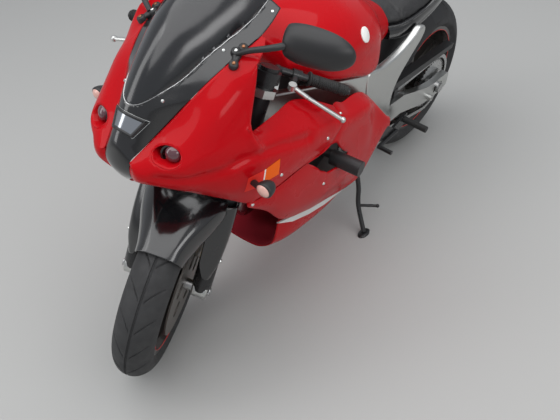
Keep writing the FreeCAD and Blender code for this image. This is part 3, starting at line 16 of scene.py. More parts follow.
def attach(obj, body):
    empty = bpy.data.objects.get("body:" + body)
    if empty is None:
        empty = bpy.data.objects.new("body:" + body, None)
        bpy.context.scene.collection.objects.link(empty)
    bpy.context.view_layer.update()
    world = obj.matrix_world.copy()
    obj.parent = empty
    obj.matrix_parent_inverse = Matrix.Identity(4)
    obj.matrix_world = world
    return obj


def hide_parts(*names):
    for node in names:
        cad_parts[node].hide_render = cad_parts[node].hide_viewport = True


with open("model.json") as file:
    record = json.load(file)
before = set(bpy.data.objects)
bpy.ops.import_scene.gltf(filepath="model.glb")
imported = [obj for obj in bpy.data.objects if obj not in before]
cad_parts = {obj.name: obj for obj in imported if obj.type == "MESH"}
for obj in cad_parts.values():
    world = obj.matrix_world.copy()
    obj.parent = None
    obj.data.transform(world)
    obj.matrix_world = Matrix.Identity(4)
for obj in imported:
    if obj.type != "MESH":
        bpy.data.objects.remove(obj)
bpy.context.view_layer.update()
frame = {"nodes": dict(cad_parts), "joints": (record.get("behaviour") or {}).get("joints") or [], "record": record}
scene = bpy.context.scene

# %% [markdown]
# ## One drawing frame for the whole bike
# A bike is drawn upright: X forward, Y to the rider's left, Z up, in millimetres from the floor
# under the rear axle. The parked bike leans and its fork is turned. Every piece could be drawn
# leaning, but then no number could be read as a width or a height. So each point is carried
# from the drawing to its place by one of two maps, for the chassis and for the fork. Both are
# worked out from the joints: the wheel axles give the sideways axis, the steering axis the rest.

# %% Maps from the drawing to the parked bike
RAKE = math.radians(24)
REAR_AXLE = np.array([0.0, 0.0, 315.0])
FRONT_AXLE = np.array([1395.0, 0.0, 300.0])
MM = 0.001
joints = {joint["name"]: joint for joint in frame["joints"]}
FORK_UP = np.array([-math.sin(RAKE), 0, math.cos(RAKE)])
FORK_AHEAD = np.array([math.cos(RAKE), 0, math.sin(RAKE)])


class Place:
    """Carries drawn points (mm) to the parked bike (metres), and back."""

    def __init__(self, axle, joint):
        across = np.array(joints[joint]["axis"])
        steer = np.array(joints["steering"]["axis"])
        ahead = np.cross(across, steer)
        forward = math.cos(RAKE) * ahead - math.sin(RAKE) * steer
        upward = math.sin(RAKE) * ahead + math.cos(RAKE) * steer
        self.turn = np.array([forward, across, upward])
        self.axle = axle
        self.at = np.array(joints[joint]["pos_m"])

    def __call__(self, points):
        """Offset from the axle in metres, turned, and set down at the parked axle."""
        return (np.asarray(points, float) - self.axle) * MM @ self.turn + self.at

    def back(self, points):
        """The same steps undone: from the parked bike to the drawing."""
        return (np.asarray(points, float) - self.at) @ self.turn.T / MM + self.axle


chassis = Place(REAR_AXLE, "rear_wheel_spin")
fork = Place(FRONT_AXLE, "front_wheel_spin")
lean = math.degrees(math.acos(chassis.turn[2][2]))
print("lean from the vertical", round(lean, 1), "degrees")

# %% [markdown]
# ## The camera of the photograph
# The photograph was taken from eye height, ahead of the bike and to its left, looking down.
# Its place is given from the spot on the floor under the rear axle, so it follows the frame. The
# turn could be set as three Euler angles, but a look direction and a roll are easier to correct
# against a photograph: each moves the picture in one plain way.

# %% Camera
PHOTO_WIDE = 560
FOCAL_PIXELS = 707.4
SENSOR = 36
CAMERA_FROM_SPOT = np.array([2.3076, 1.3424, 1.7012])
spot = chassis([0, 0, 0])
camera_at = np.array([spot[0], spot[1], 0]) + CAMERA_FROM_SPOT
YAW, PITCH, ROLL = math.radians(-138.47), math.radians(38.31), math.radians(-5.72)
look = Vector((math.cos(PITCH) * math.cos(YAW), math.cos(PITCH) * math.sin(YAW), -math.sin(PITCH)))
level = look.cross(Vector((0, 0, 1))).normalized()
above = level.cross(look)
right = level * math.cos(ROLL) + above * math.sin(ROLL)
up = above * math.cos(ROLL) - level * math.sin(ROLL)
camera_data = bpy.data.cameras.new("photo_camera")
camera_data.sensor_width = SENSOR
camera_data.lens = FOCAL_PIXELS / PHOTO_WIDE * SENSOR
camera = bpy.data.objects.new("photo_camera", camera_data)
rotation = Matrix((right, up, -look)).transposed().to_4x4()
camera.matrix_world = Matrix.Translation(Vector(camera_at)) @ rotation
scene.collection.objects.link(camera)
scene.camera = camera
print("lens", round(camera_data.lens, 1), "mm at", [round(c, 2) for c in camera_at])

# %% [markdown]
# ## Grids, curves and meshes
# Bodywork is a net of given points with a smooth surface through them. A NURBS patch would
# only come near its points. A Catmull-Rom curve passes through every one, so a point measured on
# the bike is a point of the surface: on each span it blends four neighbours with cubic weights.
# Used along the rows of the net and then along its columns it gives the surface.


# %% Curves and grids
def four_blend(a, b, c, d, f):
    """Catmull-Rom at the share f of the span from b to c: cubic weights of four neighbours."""
    return 0.5 * (2 * b + (c - a) * f + (2 * a - 5 * b + 4 * c - d) * f ** 2
                  + (3 * b - a - 3 * c + d) * f ** 3)


def flow(points, count):
    """A smooth line through the points along the first axis, its ends carried on straight."""
    points = np.asarray(points, float)
    first = 2 * points[:1] - points[1:2]
    last = 2 * points[-1:] - points[-2:-1]
    padded = np.concatenate([first, points, last])
    t = np.linspace(0, len(points) - 1, count)
    span = np.minimum(t.astype(int), len(points) - 2)
    f = (t - span).reshape((-1,) + (1,) * (points.ndim - 1))
    return four_blend(*(padded[span + step] for step in range(4)), f)


def net_surface(net, per_row, per_column):
    """A smooth grid through a net of points: flow() along the rows, then along the columns."""
    net = np.asarray(net, float)
    rows = flow(net, (net.shape[0] - 1) * per_row + 1)
    columns = flow(rows.swapaxes(0, 1), (net.shape[1] - 1) * per_column + 1)
    return columns.swapaxes(0, 1)


def grid_faces(rows, columns, wrap_rows=False, wrap_columns=False):
    """Quads between neighbouring points of a grid, with its seams closed where asked."""
    r = np.arange(rows if wrap_rows else rows - 1)
    c = np.arange(columns if wrap_columns else columns - 1)
    r, c = (part.ravel() for part in np.meshgrid(r, c, indexing="ij"))
    r2 = (r + 1) % rows
    c2 = (c + 1) % columns
    return np.stack([r * columns + c, r2 * columns + c, r2 * columns + c2, r * columns + c2], axis=1)


def outward(points, faces, inside=None):
    """Faces turned away from a point inside: the sum of normal times distance must be positive."""
    points = np.asarray(points, float)
    centre = points.mean(0) if inside is None else np.asarray(inside, float)
    a, b, c = (points[[face[step] for face in faces]] for step in (0, 1, 2))
    facing = (np.cross(b - a, c - a) * (a - centre)).sum()
    return [list(face) if facing > 0 else list(face)[::-1] for face in faces]


def mesh_piece(name, points, faces, body, finish, place=chassis, smooth=40, wall=0, inside=None):
    """A mesh of drawn points; its wall grows inwards, and edges over the smooth angle stay crisp."""
    mesh = bpy.data.meshes.new(name)
    mesh.from_pydata(place(points).tolist(), [], outward(points, faces, inside))
    mesh.materials.append(finish)
    mesh.shade_smooth()
    mesh.set_sharp_from_angle(angle=math.radians(smooth))
    piece = bpy.data.objects.new(name, mesh)
    scene.collection.objects.link(piece)
    if wall:
        solid = piece.modifiers.new("wall", "SOLIDIFY")
        solid.thickness = wall * MM
        solid.offset = -1
    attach(piece, body)
    return piece


def mirror_points(points):
    """The same points on the bike's other side."""
    return np.asarray(points, float) * [1, -1, 1]


def turned_faces(faces):
    """The faces wound the other way, as a mirror image needs them."""
    return [face[::-1] for face in faces]


def pair(name, points, faces, finish, **options):
    """A piece on the left and its mirror image on the right."""
    left = mesh_piece(name + "_left", points, faces, "chassis", finish, **options)
    return left, mesh_piece(name + "_right", mirror_points(points), faces, "chassis", finish, **options)


def ring_of(radius, sides):
    """A circle of points: cosine and sine of equal steps."""
    turn = np.linspace(0, 2 * math.pi, sides, endpoint=False)
    return np.stack([np.cos(turn) * radius, np.sin(turn) * radius], axis=1)


def frames_along(path):
    """Two unit vectors square to a path at each point: the first keeps level where it can."""
    path = np.asarray(path, float)
    ahead = np.gradient(path, axis=0)
    ahead /= np.linalg.norm(ahead, axis=1)[:, None]
    upward = np.array([0, 0, 1.0])
    side = np.cross(ahead, upward)
    flat = np.linalg.norm(side, axis=1) < 1e-3
    side[flat] = [0, 1, 0]
    side /= np.linalg.norm(side, axis=1)[:, None]
    return side, np.cross(side, ahead)


def tube_points(path, radius, sides=16):
    """A ring of points round each point of the path, and a fan over each end."""
    path = np.asarray(path, float)
    side, over = frames_along(path)
    radius = np.broadcast_to(radius, len(path))
    ring = ring_of(1, sides)
    points = path[:, None] + radius[:, None, None] * (ring[None, :, :1] * side[:, None]
                                                      + ring[None, :, 1:] * over[:, None])
    points = np.concatenate([points.reshape(-1, 3), path[:1], path[-1:]])
    rows = len(path)
    faces = [list(face) for face in grid_faces(rows, sides, wrap_columns=True)]
    first, last = rows * sides, rows * sides + 1
    for step in range(sides):
        after = (step + 1) % sides
        faces.append([first, step, after])
        faces.append([last, (rows - 1) * sides + after, (rows - 1) * sides + step])
    return points, faces


def tube(name, path, radius, body, finish, place=chassis, sides=16, smooth=40):
    """A round bar along a path, closed at both ends."""
    points, faces = tube_points(path, radius, sides)
    return mesh_piece(name, points, faces, body, finish, place, smooth)


print("helpers ready: nets, pairs and tubes")

# %% [markdown]
# ## Finishes
# Paint, polished metal and rubber share two effects, so these are node groups, built once and
# placed in each material with its own numbers. `wear` gives a slow patchy mask that breaks up a
# gloss, and `brushing` gives fine lines along one direction. Both read Object coordinates, which
# need no UV map and stay on the bike whatever it does.


# %% Shared effects
def new_group(name, **inputs):
    """A node group with number sockets of the given names and values, and one output."""
    group = bpy.data.node_groups.new(name, "ShaderNodeTree")
    for label, value in inputs.items():
        socket = group.interface.new_socket(label, in_out="INPUT", socket_type="NodeSocketFloat")
        socket.default_value = value
    group.interface.new_socket("Value", in_out="OUTPUT", socket_type="NodeSocketFloat")
    return group, group.nodes.new("NodeGroupInput"), group.nodes.new("NodeGroupOutput")


def make_wear():
    """A noise mask between a low and a high value, the same size everywhere on the bike."""
    group, entry, out = new_group("wear", Size=12.0, Low=0.1, High=0.2)
    where = group.nodes.new("ShaderNodeTexCoord")
    noise = group.nodes.new("ShaderNodeTexNoise")
    noise.inputs["Detail"].default_value = 5
    spread = group.nodes.new("ShaderNodeMapRange")
    spread.inputs["From Min"].default_value = 0.35
    spread.inputs["From Max"].default_value = 0.68
    group.links.new(where.outputs["Object"], noise.inputs["Vector"])
    group.links.new(entry.outputs["Size"], noise.inputs["Scale"])
    group.links.new(noise.outputs["Fac"], spread.inputs["Value"])
    group.links.new(entry.outputs["Low"], spread.inputs["To Min"])
    group.links.new(entry.outputs["High"], spread.inputs["To Max"])
    group.links.new(spread.outputs["Result"], out.inputs["Value"])
    return group


def make_brushing():
    """Noise drawn out along X, so that it reads as fine lines."""
    group, entry, out = new_group("brushing", Lines=900.0)
    where = group.nodes.new("ShaderNodeTexCoord")
    stretch = group.nodes.new("ShaderNodeMapping")
    stretch.inputs["Scale"].default_value = (0.02, 1, 1)
    noise = group.nodes.new("ShaderNodeTexNoise")
    noise.inputs["Detail"].default_value = 2
    group.links.new(where.outputs["Object"], stretch.inputs["Vector"])
    group.links.new(stretch.outputs["Vector"], noise.inputs["Vector"])
    group.links.new(entry.outputs["Lines"], noise.inputs["Scale"])
    group.links.new(noise.outputs["Fac"], out.inputs["Value"])
    return group


WEAR = make_wear()
BRUSHING = make_brushing()
GRAIN_DEEP = 0.0004


def placed(tree, group, **values):
    """The group's output in a material's tree, with the material's own values on its sockets."""
    node = tree.nodes.new("ShaderNodeGroup")
    node.node_tree = group
    for label, value in values.items():
        node.inputs[label].default_value = value
    return node.outputs["Value"]


def finish(name, colour, rough, metal=0.0, coat=0.0, wear=None, bump=None, brushed=0.0, **sockets):
    """A material; wear=(size, low, high) sets the roughness, bump=(size, strength) a grain."""
    material = bpy.data.materials.new(name)
    material.use_nodes = True
    tree = material.node_tree
    shader = tree.nodes["Principled BSDF"]
    shader.inputs["Base Color"].default_value = (*colour, 1)
    shader.inputs["Roughness"].default_value = rough
    shader.inputs["Metallic"].default_value = metal
    shader.inputs["Coat Weight"].default_value = coat
    shader.inputs["Coat Roughness"].default_value = 0.04
    for socket, value in sockets.items():
        shader.inputs[socket.replace("_", " ")].default_value = value
    if wear:
        size, low, high = wear
        tree.links.new(placed(tree, WEAR, Size=size, Low=low, High=high), shader.inputs["Roughness"])
    if bump or brushed:
        relief = placed(tree, BRUSHING) if brushed else placed(tree, WEAR, Size=bump[0], Low=0, High=1)
        push = tree.nodes.new("ShaderNodeBump")
        push.inputs["Strength"].default_value = brushed or bump[1]
        push.inputs["Distance"].default_value = GRAIN_DEEP
        tree.links.new(relief, push.inputs["Height"])
        tree.links.new(push.outputs["Normal"], shader.inputs["Normal"])
    return material


print("node groups", [group.name for group in bpy.data.node_groups])

# %% [markdown]
# ## Paints, metals and rubbers
# The red is a deep colour under a thin clear coat. The coat and the paint's own specular level
# are both kept low, because the pale floor would otherwise turn the low panels pink. Metals
# differ in roughness more than in colour, because what they show is the room.

# %% Materials
red = finish("red_paint", (0.46, 0.003, 0.007), 0.28, coat=0.3, wear=(9, 0.22, 0.36), Coat_IOR=1.4,
             Specular_IOR_Level=0.04)
black = finish("black_gloss", (0.006, 0.006, 0.007), 0.2, coat=0.8, wear=(14, 0.14, 0.28),
               Coat_Roughness=0.09)
screen_tint = finish("tinted_screen", (0.009, 0.01, 0.012), 0.2, coat=0.7, Alpha=0.95,
                     Coat_Roughness=0.16)
satin = finish("satin_black", (0.016, 0.016, 0.017), 0.42, bump=(420, 0.12))
enamel = finish("black_enamel", (0.014, 0.014, 0.015), 0.3, wear=(20, 0.22, 0.4))
alloy = finish("brushed_alloy", (0.58, 0.585, 0.57), 0.3, metal=1.0, brushed=0.35)
polished = finish("polished_alloy", (0.76, 0.77, 0.75), 0.14, metal=1.0, wear=(18, 0.08, 0.24))
steel = finish("bare_steel", (0.5, 0.5, 0.5), 0.26, metal=1.0, wear=(25, 0.18, 0.36))
gold = finish("pale_gold", (0.5, 0.38, 0.17), 0.26, metal=1.0)
silver = finish("silver_paint", (0.66, 0.66, 0.64), 0.24, coat=0.8)
engine_grey = finish("engine_grey", (0.07, 0.07, 0.07), 0.5, metal=0.4)
rim_paint = finish("rim_bronze", (0.045, 0.04, 0.036), 0.32, metal=0.55, coat=0.4)
tyre_rubber = finish("tyre_rubber", (0.03, 0.03, 0.031), 0.78, wear=(30, 0.66, 0.9), bump=(700, 0.25))
rubber = finish("grip_rubber", (0.014, 0.014, 0.014), 0.66)
vinyl = finish("seat_vinyl", (0.02, 0.02, 0.021), 0.46, bump=(900, 0.35))
projector_glass = finish("projector_glass", (0.1, 0.035, 0.045), 0.08, coat=1.0)
lamp_mirror = finish("lamp_mirror", (0.42, 0.44, 0.47), 0.16, metal=1.0)
glass_mirror = finish("mirror_silver", (0.86, 0.87, 0.89), 0.02, metal=1.0)
tail_red = finish("tail_lens", (0.4, 0.008, 0.012), 0.08, coat=1.0)
amber_lens = finish("signal_lens", (0.72, 0.42, 0.36), 0.12, coat=0.6)
marker_orange = finish("marker_orange", (0.9, 0.13, 0.004), 0.45, IOR=1.2)
marker_red = finish("marker_red", (0.8, 0.03, 0.02), 0.45, IOR=1.2)
marker_white = finish("marker_white", (0.86, 0.85, 0.82), 0.4)
# Painted light: a lighter, rough copy of the red for the belly pan's inside, lifting the shade in the trough
painted_light_inner_red = finish("painted_light_inner_red", (0.62, 0.035, 0.06), 0.6)
red_line = finish("red_line", (0.75, 0.02, 0.02), 0.3, coat=0.5)
spring_paint = finish("spring_paint", (0.6, 0.56, 0.46), 0.35, coat=0.4)
disc_steel = finish("disc_steel", (0.2, 0.185, 0.17), 0.38, metal=0.9)
radiator_black = finish("radiator_black", (0.02, 0.02, 0.021), 0.55, bump=(260, 0.5))
copper = finish("copper_screw", (0.32, 0.15, 0.08), 0.35, metal=1.0)
print("finishes", len(bpy.data.materials))

# %% [markdown]
# ## Finishes on the carried-over pieces
# Each CAD node names a slot of the record, and one table leads from slots to materials. Discs,
# radiator and hangers then get a closer match than their slot has.

# %% Slots
CAD_FINISH = {
    "red_paint": red, "black_gloss": black, "black_plastic": satin, "black_metal": enamel,
    "aluminium": alloy, "silver_paint": silver, "engine_grey": engine_grey, "steel": steel,
    "fork_gold": gold, "caliper_gold": gold, "silencer_shell": polished, "rim_bronze": rim_paint,
    "tyre": tyre_rubber, "rubber": rubber, "seat_vinyl": vinyl, "spring": spring_paint,
    "tinted_screen": screen_tint, "lamp_glass": lamp_mirror, "tail_lens": tail_red,
    "mirror_glass": glass_mirror}
CRISP_ANGLE = math.radians(32)
slot_of = {row["node"]: row["material_slot"] for row in frame["record"]["subparts"]}
for label, item in frame["nodes"].items():
    item.data.materials.clear()
    item.data.materials.append(CAD_FINISH[slot_of[label]])
    item.data.shade_smooth()
    item.data.set_sharp_from_angle(angle=CRISP_ANGLE)
frame["nodes"]["radiator"].data.materials[0] = radiator_black
frame["nodes"]["footrest_hangers"].data.materials[0] = enamel
for label in ("front_discs", "rear_disc"):
    frame["nodes"][label].data.materials[0] = disc_steel
print("nodes finished", len(slot_of))

# %% [markdown]
# ## Floor and light
# The floor is pale and plain. Point lamps would show as small dots in gloss paint, so all three
# lamps are rectangles: a wide sky overhead, a long panel ahead and to the right, and a low one
# on the left. Their reflections are the soft streaks that run over the paint.

# %% Floor and light
FLOOR = 9.0
SKY_COLOUR, SKY_STRENGTH = (0.86, 0.89, 0.94, 1), 0.5
floor_mesh = bpy.data.meshes.new("floor")
floor_mesh.from_pydata([(-FLOOR, -FLOOR, 0), (FLOOR, -FLOOR, 0), (FLOOR, FLOOR, 0), (-FLOOR, FLOOR, 0)],
                       [], [(0, 1, 2, 3)])
floor_mesh.materials.append(finish("pale_floor", (0.42, 0.42, 0.41), 0.9))
floor = bpy.data.objects.new("floor", floor_mesh)
scene.collection.objects.link(floor)


def lamp(name, at, aim, size, watts):
    """A rectangle of light at one point, its face turned to another."""
    light = bpy.data.lights.new(name, "AREA")
    light.shape = "RECTANGLE"
    light.size, light.size_y = size
    light.energy = watts
    item = bpy.data.objects.new(name, light)
    item.location = at
    item.rotation_euler = (Vector(aim) - Vector(at)).to_track_quat("-Z", "Y").to_euler()
    scene.collection.objects.link(item)


lamp("sky_panel", (0.6, 0.4, 4.6), (0.2, 0, 0.4), (6.5, 6.5), 225)
lamp("long_panel", (3.2, -2.2, 2.6), (0.3, 0, 0.7), (1.4, 4.0), 40)
lamp("side_panel", (0.8, 4.2, 2.2), (0.1, 0, 0.6), (4.0, 1.0), 45)
world = bpy.data.worlds.new("sky")
world.use_nodes = True
world.node_tree.nodes["Background"].inputs["Color"].default_value = SKY_COLOUR
world.node_tree.nodes["Background"].inputs["Strength"].default_value = SKY_STRENGTH
scene.world = world
scene.view_settings.view_transform = "Standard"

# %% [markdown]
# ## Openings in a surface
# Lamps, vents and the edge of the screen are lines drawn on a moulding. A boolean cuts closed
# bodies, and these are open sheets. So a line is given in the grid's own steps: faces whose
# middle lies inside it are taken out, and the border points slide along the surface onto the
# drawn line, so the edge is clean however coarse the grid is.


# %% Openings
def sample(grid, cells):
    """Points of the surface between grid points: a mean of four, weighted by nearness."""
    cells = np.clip(cells, 0, np.array(grid.shape[:2]) - 1.0001)
    low = cells.astype(int)
    f, g = (cells - low).T[:, :, None]
    r, c = low.T
    return ((grid[r, c] * (1 - f) + grid[r + 1, c] * f) * (1 - g)
            + (grid[r, c + 1] * (1 - f) + grid[r + 1, c + 1] * f) * g)


def nearest_cells(grid, points):
    """Row and column of the grid point nearest to each given point."""
    flat = grid.reshape(-1, 3)
    gaps = ((flat[None] - np.asarray(points, float)[:, None]) ** 2).sum(2)
    return np.stack(np.divmod(gaps.argmin(1), grid.shape[1]), axis=1).astype(float)


CURVE_STEPS = 24


def outline_of(corners, count=240, rounded=False):
    """Points evenly spread along a closed line of corners, or along a curve through them."""
    corners = np.asarray(corners, float)
    if rounded:
        ring = np.concatenate([corners[-2:], corners, corners[:2]])
        corners = flow(ring, (len(ring) - 1) * CURVE_STEPS + 1)[2 * CURVE_STEPS:-CURVE_STEPS][:-1]
    loop = np.concatenate([corners, corners[:1]])
    reach = np.concatenate([[0], np.cumsum(np.linalg.norm(np.diff(loop, axis=0), axis=1))])
    t = np.linspace(0, reach[-1], count, endpoint=False)
    return np.stack([np.interp(t, reach, loop[:, axis]) for axis in range(loop.shape[1])], axis=1)


def inside_outline(points, outline):
    """True where a ray along the first axis crosses the outline an odd number of times."""
    a = outline[None]
    b = np.roll(outline, -1, axis=0)[None]
    p = points[:, None]
    level = (a[..., 1] > p[..., 1]) != (b[..., 1] > p[..., 1])
    rise = np.where(b[..., 1] == a[..., 1], 1, b[..., 1] - a[..., 1])
    cross = a[..., 0] + (p[..., 1] - a[..., 1]) / rise * (b[..., 0] - a[..., 0])
    return (level & (p[..., 0] < cross)).sum(1) % 2 == 1


def cut_grid(grid, outlines, faces=None):
    """The grid's points, the faces outside all the outlines, and the faces inside each of them."""
    rows, columns = grid.shape[:2]
    faces = grid_faces(rows, columns) if faces is None else faces
    cells = np.stack(np.divmod(np.arange(rows * columns), columns), axis=1).astype(float)
    taken_out = []
    for outline in outlines:
        hole = inside_outline(cells[faces].mean(1), outline)
        border = np.intersect1d(faces[hole], faces[~hole])
        gaps = ((cells[border][:, None] - outline[None]) ** 2).sum(2)
        cells[border] = outline[gaps.argmin(1)]
        taken_out.append(faces[hole])
        faces = faces[~hole]
    return sample(grid, cells), faces, taken_out


def spun(profile, centre, axis, steps=40):
    """A profile of radius and distance turned about an axis; an end on the axis closes in a fan."""
    profile = np.asarray(profile, float)
    axis = np.asarray(axis, float) / np.linalg.norm(axis)
    first = np.cross(axis, [0.3, 0.2, 1.0])
    first /= np.linalg.norm(first)
    second = np.cross(axis, first)
    ring = ring_of(1, steps)
    wheel = ring[:, :1] * first + ring[:, 1:] * second
    walls = profile[profile[:, 0] > 0]
    points = np.asarray(centre) + walls[:, 1, None, None] * axis + walls[:, 0, None, None] * wheel
    points = points.reshape(-1, 3)
    faces = [list(face) for face in grid_faces(len(walls), steps, wrap_columns=True)]
    step = np.arange(steps)
    for end, base in ((profile[0], 0), (profile[-1], (len(walls) - 1) * steps)):
        if end[0] == 0:
            pole = len(points)
            points = np.concatenate([points, [centre + end[1] * axis]])
            turn = 1 if base == 0 else -1
            faces += [[pole, base + a, base + b][::turn] for a, b in zip(step, np.roll(step, -1))]
    return points, faces


def joined(parts):
    """Several meshes as one: points after points, and faces counted on."""
    points, faces, count = [], [], 0
    for part_points, part_faces in parts:
        points.append(part_points)
        faces += [[index + count for index in face] for face in part_faces]
        count += len(part_points)
    return np.concatenate(points), faces


def body_mesh(grid):
    """The body's points and faces, with a fan to the middle of each end ring."""
    rows, around = grid.shape[:2]
    points = np.concatenate([grid.reshape(-1, 3), grid[:1].mean(1), grid[-1:].mean(1)])
    faces = [list(face) for face in grid_faces(rows, around, wrap_columns=True)]
    step = np.arange(around)
    after = (step + 1) % around
    first = np.stack([np.full(around, rows * around), step, after], axis=1)
    last_row = (rows - 1) * around
    last = np.stack([np.full(around, rows * around + 1), last_row + after, last_row + step], axis=1)
    return points, faces + first.tolist() + last.tolist()


print("openings, turned pieces and joining ready")

# %% [markdown]
# ## Black nose and tinted screen
# On the bike the black nose and the flat border round the screen read as one gloss panel, and the
# tinted dome rises out of it from a U-shaped line. Two meshes would have to be fitted along that
# line, so both are one grid of rows across the bike, cut apart later. A row has its left edge and
# its crown, and a weight from 0 at the crown to 1 at the edge bends between them. The dome's half
# width grows with the row r as 0.84 (1 - exp(-1.05 sqrt(r))), and across it the dome falls as
# (1 - u^2)^0.8, steep at its line but with no crease to catch.

# %% Nose and screen
FRONT_ROWS = [  # left edge x, y, z, then crown x, z
    (1474, 12, 741, 1483, 741), (1492, 32, 766, 1501, 768), (1503, 40, 796, 1512, 800),
    (1499, 41, 828, 1506, 846), (1474, 50, 848, 1495, 876), (1449, 59, 867, 1479, 902),
    (1396, 80, 912, 1450, 946), (1366, 96, 945, 1420, 992), (1334, 111, 975, 1384, 1036),
    (1276, 129, 1012, 1322, 1094), (1220, 138, 1033, 1268, 1130), (1163, 144, 1050, 1212, 1158),
    (1118, 143, 1068, 1158, 1180), (1080, 138, 1088, 1108, 1193)]
DOME_ROW = 6
DOME_WIDE, DOME_RISE = 0.84, 1.05
DOME_BEND = 0.8
NOSE_BLEND = 2.5
BORDER_RISE = 0.3
FRONT_STEPS, FRONT_COLUMNS = 8, 97
BEHIND = (1250, 0, 760)


def dome_half(row):
    """Half width of the dome at a row, as a share of the row's half width."""
    return DOME_WIDE * (1 - np.exp(-DOME_RISE * np.sqrt(np.clip(row - DOME_ROW, 0, None))))


def smooth_step(t):
    """0 to 1 with level ends: 3 t^2 - 2 t^3."""
    t = np.clip(t, 0, 1)
    return t * t * (3 - 2 * t)


def front_weight(row, s):
    """The nose bends as s squared; higher up the border is nearly flat and the dome rises from it."""
    blend = smooth_step((row - DOME_ROW) / NOSE_BLEND)
    half = dome_half(row)
    slope = 1 - BORDER_RISE
    border = (1 - blend) * s ** 2 + blend * (BORDER_RISE + slope * s)
    at_line = (1 - blend) * half ** 2 + blend * (BORDER_RISE + slope * half)
    dome = at_line * (1 - np.clip(1 - (s / np.maximum(half, 1e-6)) ** 2, 0, 1) ** DOME_BEND)
    return np.where(s < half, dome, border)


front_rows = flow(FRONT_ROWS, (len(FRONT_ROWS) - 1) * FRONT_STEPS + 1)
row_number = np.arange(len(front_rows))[:, None] / FRONT_STEPS
side_share = np.linspace(-1, 1, FRONT_COLUMNS)
weight = front_weight(row_number, np.abs(side_share)[None])
front_grid = np.stack([front_rows[:, 3:4] + (front_rows[:, 0:1] - front_rows[:, 3:4]) * weight,
                       front_rows[:, 1:2] * side_share,
                       front_rows[:, 4:5] + (front_rows[:, 2:3] - front_rows[:, 4:5]) * weight], axis=2)


print("front", front_grid.shape)


def front_point(row, s):
    """A point of the front surface at a row number and a share of the half width."""
    column = (np.asarray(s) + 1) / 2 * (FRONT_COLUMNS - 1)
    return sample(front_grid, np.stack([np.asarray(row) * FRONT_STEPS, column], axis=-1).reshape(-1, 2))


# %% [markdown]
# ## Cutting the dome and the middle lens
# The dome's line is walked up one arm and down the other in row numbers, and the middle lens is a
# short trapezium below it. Panel and screen keep one wall thickness each. A bright steel line is a
# painted highlight along the dome's steep edge; it, a gasket and a trim ring are thin tubes on
# points of the same surface, so they can't float off it.

# %% Dome, middle lens and trim
U_POINTS = 60
HIGHLIGHT_LINE_LIFT, HIGHLIGHT_LINE_RADIUS = [0.6, 0, 0.6], 1.3
TRIM_LIFT, TRIM_RADIUS, TRIM_SPREAD = [0.6, 0, 0.3], 0.9, 1.16
GASKET_RADIUS = 4.2
SCREEN_SCREWS = ((6.7, 0.66), (9.6, 0.8), (12.5, 0.92))
SCREEN_SCREW_PROFILE = [(0, 2.2), (3.4, 1.8), (4.6, 0), (4.6, -3)]
LENS_CORNERS = [(5.6, -0.62), (5.6, 0.62), (4.7, 0.52), (4.7, -0.52)]
climb = np.linspace(0, 1, U_POINTS) ** 2 * (len(FRONT_ROWS) - DOME_ROW) + DOME_ROW
left_arm = np.stack([climb, dome_half(climb)], axis=1)
dome_line = np.concatenate([left_arm[::-1], (left_arm * [1, -1])[1:]])
as_cells = np.array([FRONT_STEPS, (FRONT_COLUMNS - 1) / 2])
dome_outline = (dome_line + [0, 1]) * as_cells
lens_outline = outline_of((np.array(LENS_CORNERS) + [0, 1]) * as_cells)
front_points, panel_faces, (dome_faces, lens_faces) = cut_grid(front_grid, [dome_outline, lens_outline])
nose = mesh_piece("nose_gloss", front_points, panel_faces, "chassis", black, wall=4, inside=BEHIND)
screen = mesh_piece("screen_bubble", front_points, dome_faces, "chassis", screen_tint, wall=3,
                    inside=BEHIND)
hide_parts("nose_panel")
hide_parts("windscreen")
on_screen = dome_line[dome_line[:, 0] <= len(FRONT_ROWS) - 1.02]
# A thin steel tube on the dome's edge stands in for the shine that the steep edge catches: a painted highlight
highlight_line_path = front_point(on_screen[:, 0], on_screen[:, 1]) + HIGHLIGHT_LINE_LIFT
tube("dome_line", highlight_line_path, HIGHLIGHT_LINE_RADIUS, "chassis", steel, sides=6)
lens_edge = sample(front_grid, np.concatenate([lens_outline, lens_outline[:2]]))
wide_outline = lens_outline.mean(0) + (lens_outline - lens_outline.mean(0)) * TRIM_SPREAD
wide_edge = sample(front_grid, np.concatenate([wide_outline, wide_outline[:2]])) + TRIM_LIFT
tube("nose_lens_gasket", lens_edge, GASKET_RADIUS, "chassis", satin, sides=8)
tube("nose_lens_trim", wide_edge, TRIM_RADIUS, "chassis", polished, sides=6)
for row, share in SCREEN_SCREWS:
    for side, label in ((1, "1"), (-1, "right")):
        at = front_point(row, side * share)[0]
        points, faces = spun(SCREEN_SCREW_PROFILE, at, (0.62, 0.45 * side, 0.64), 20)
        mesh_piece(f"screen_screw_{row}_{label}", points, faces, "chassis", polished)
print("panel", len(panel_faces), "faces, dome", len(dome_faces), "lens", len(lens_faces))

# %% [markdown]
# ## Red upper fairing
# Each side is one moulding from the nose to the seat side of the shoulder. The net's columns
# run from the edge against the black nose, over the cheek, down to the seam. Behind the cheek
# the moulding opens: the first two columns become the tongue that holds the mirror, the others
# the shoulder. Each is smoothed by itself there, so that neither pulls the other out of shape.
# Two soft folds are pressed in along a line, because a net fine enough to hold them would be
# hard to keep smooth elsewhere: the cheek's lip, and the edge of the pocket behind it.

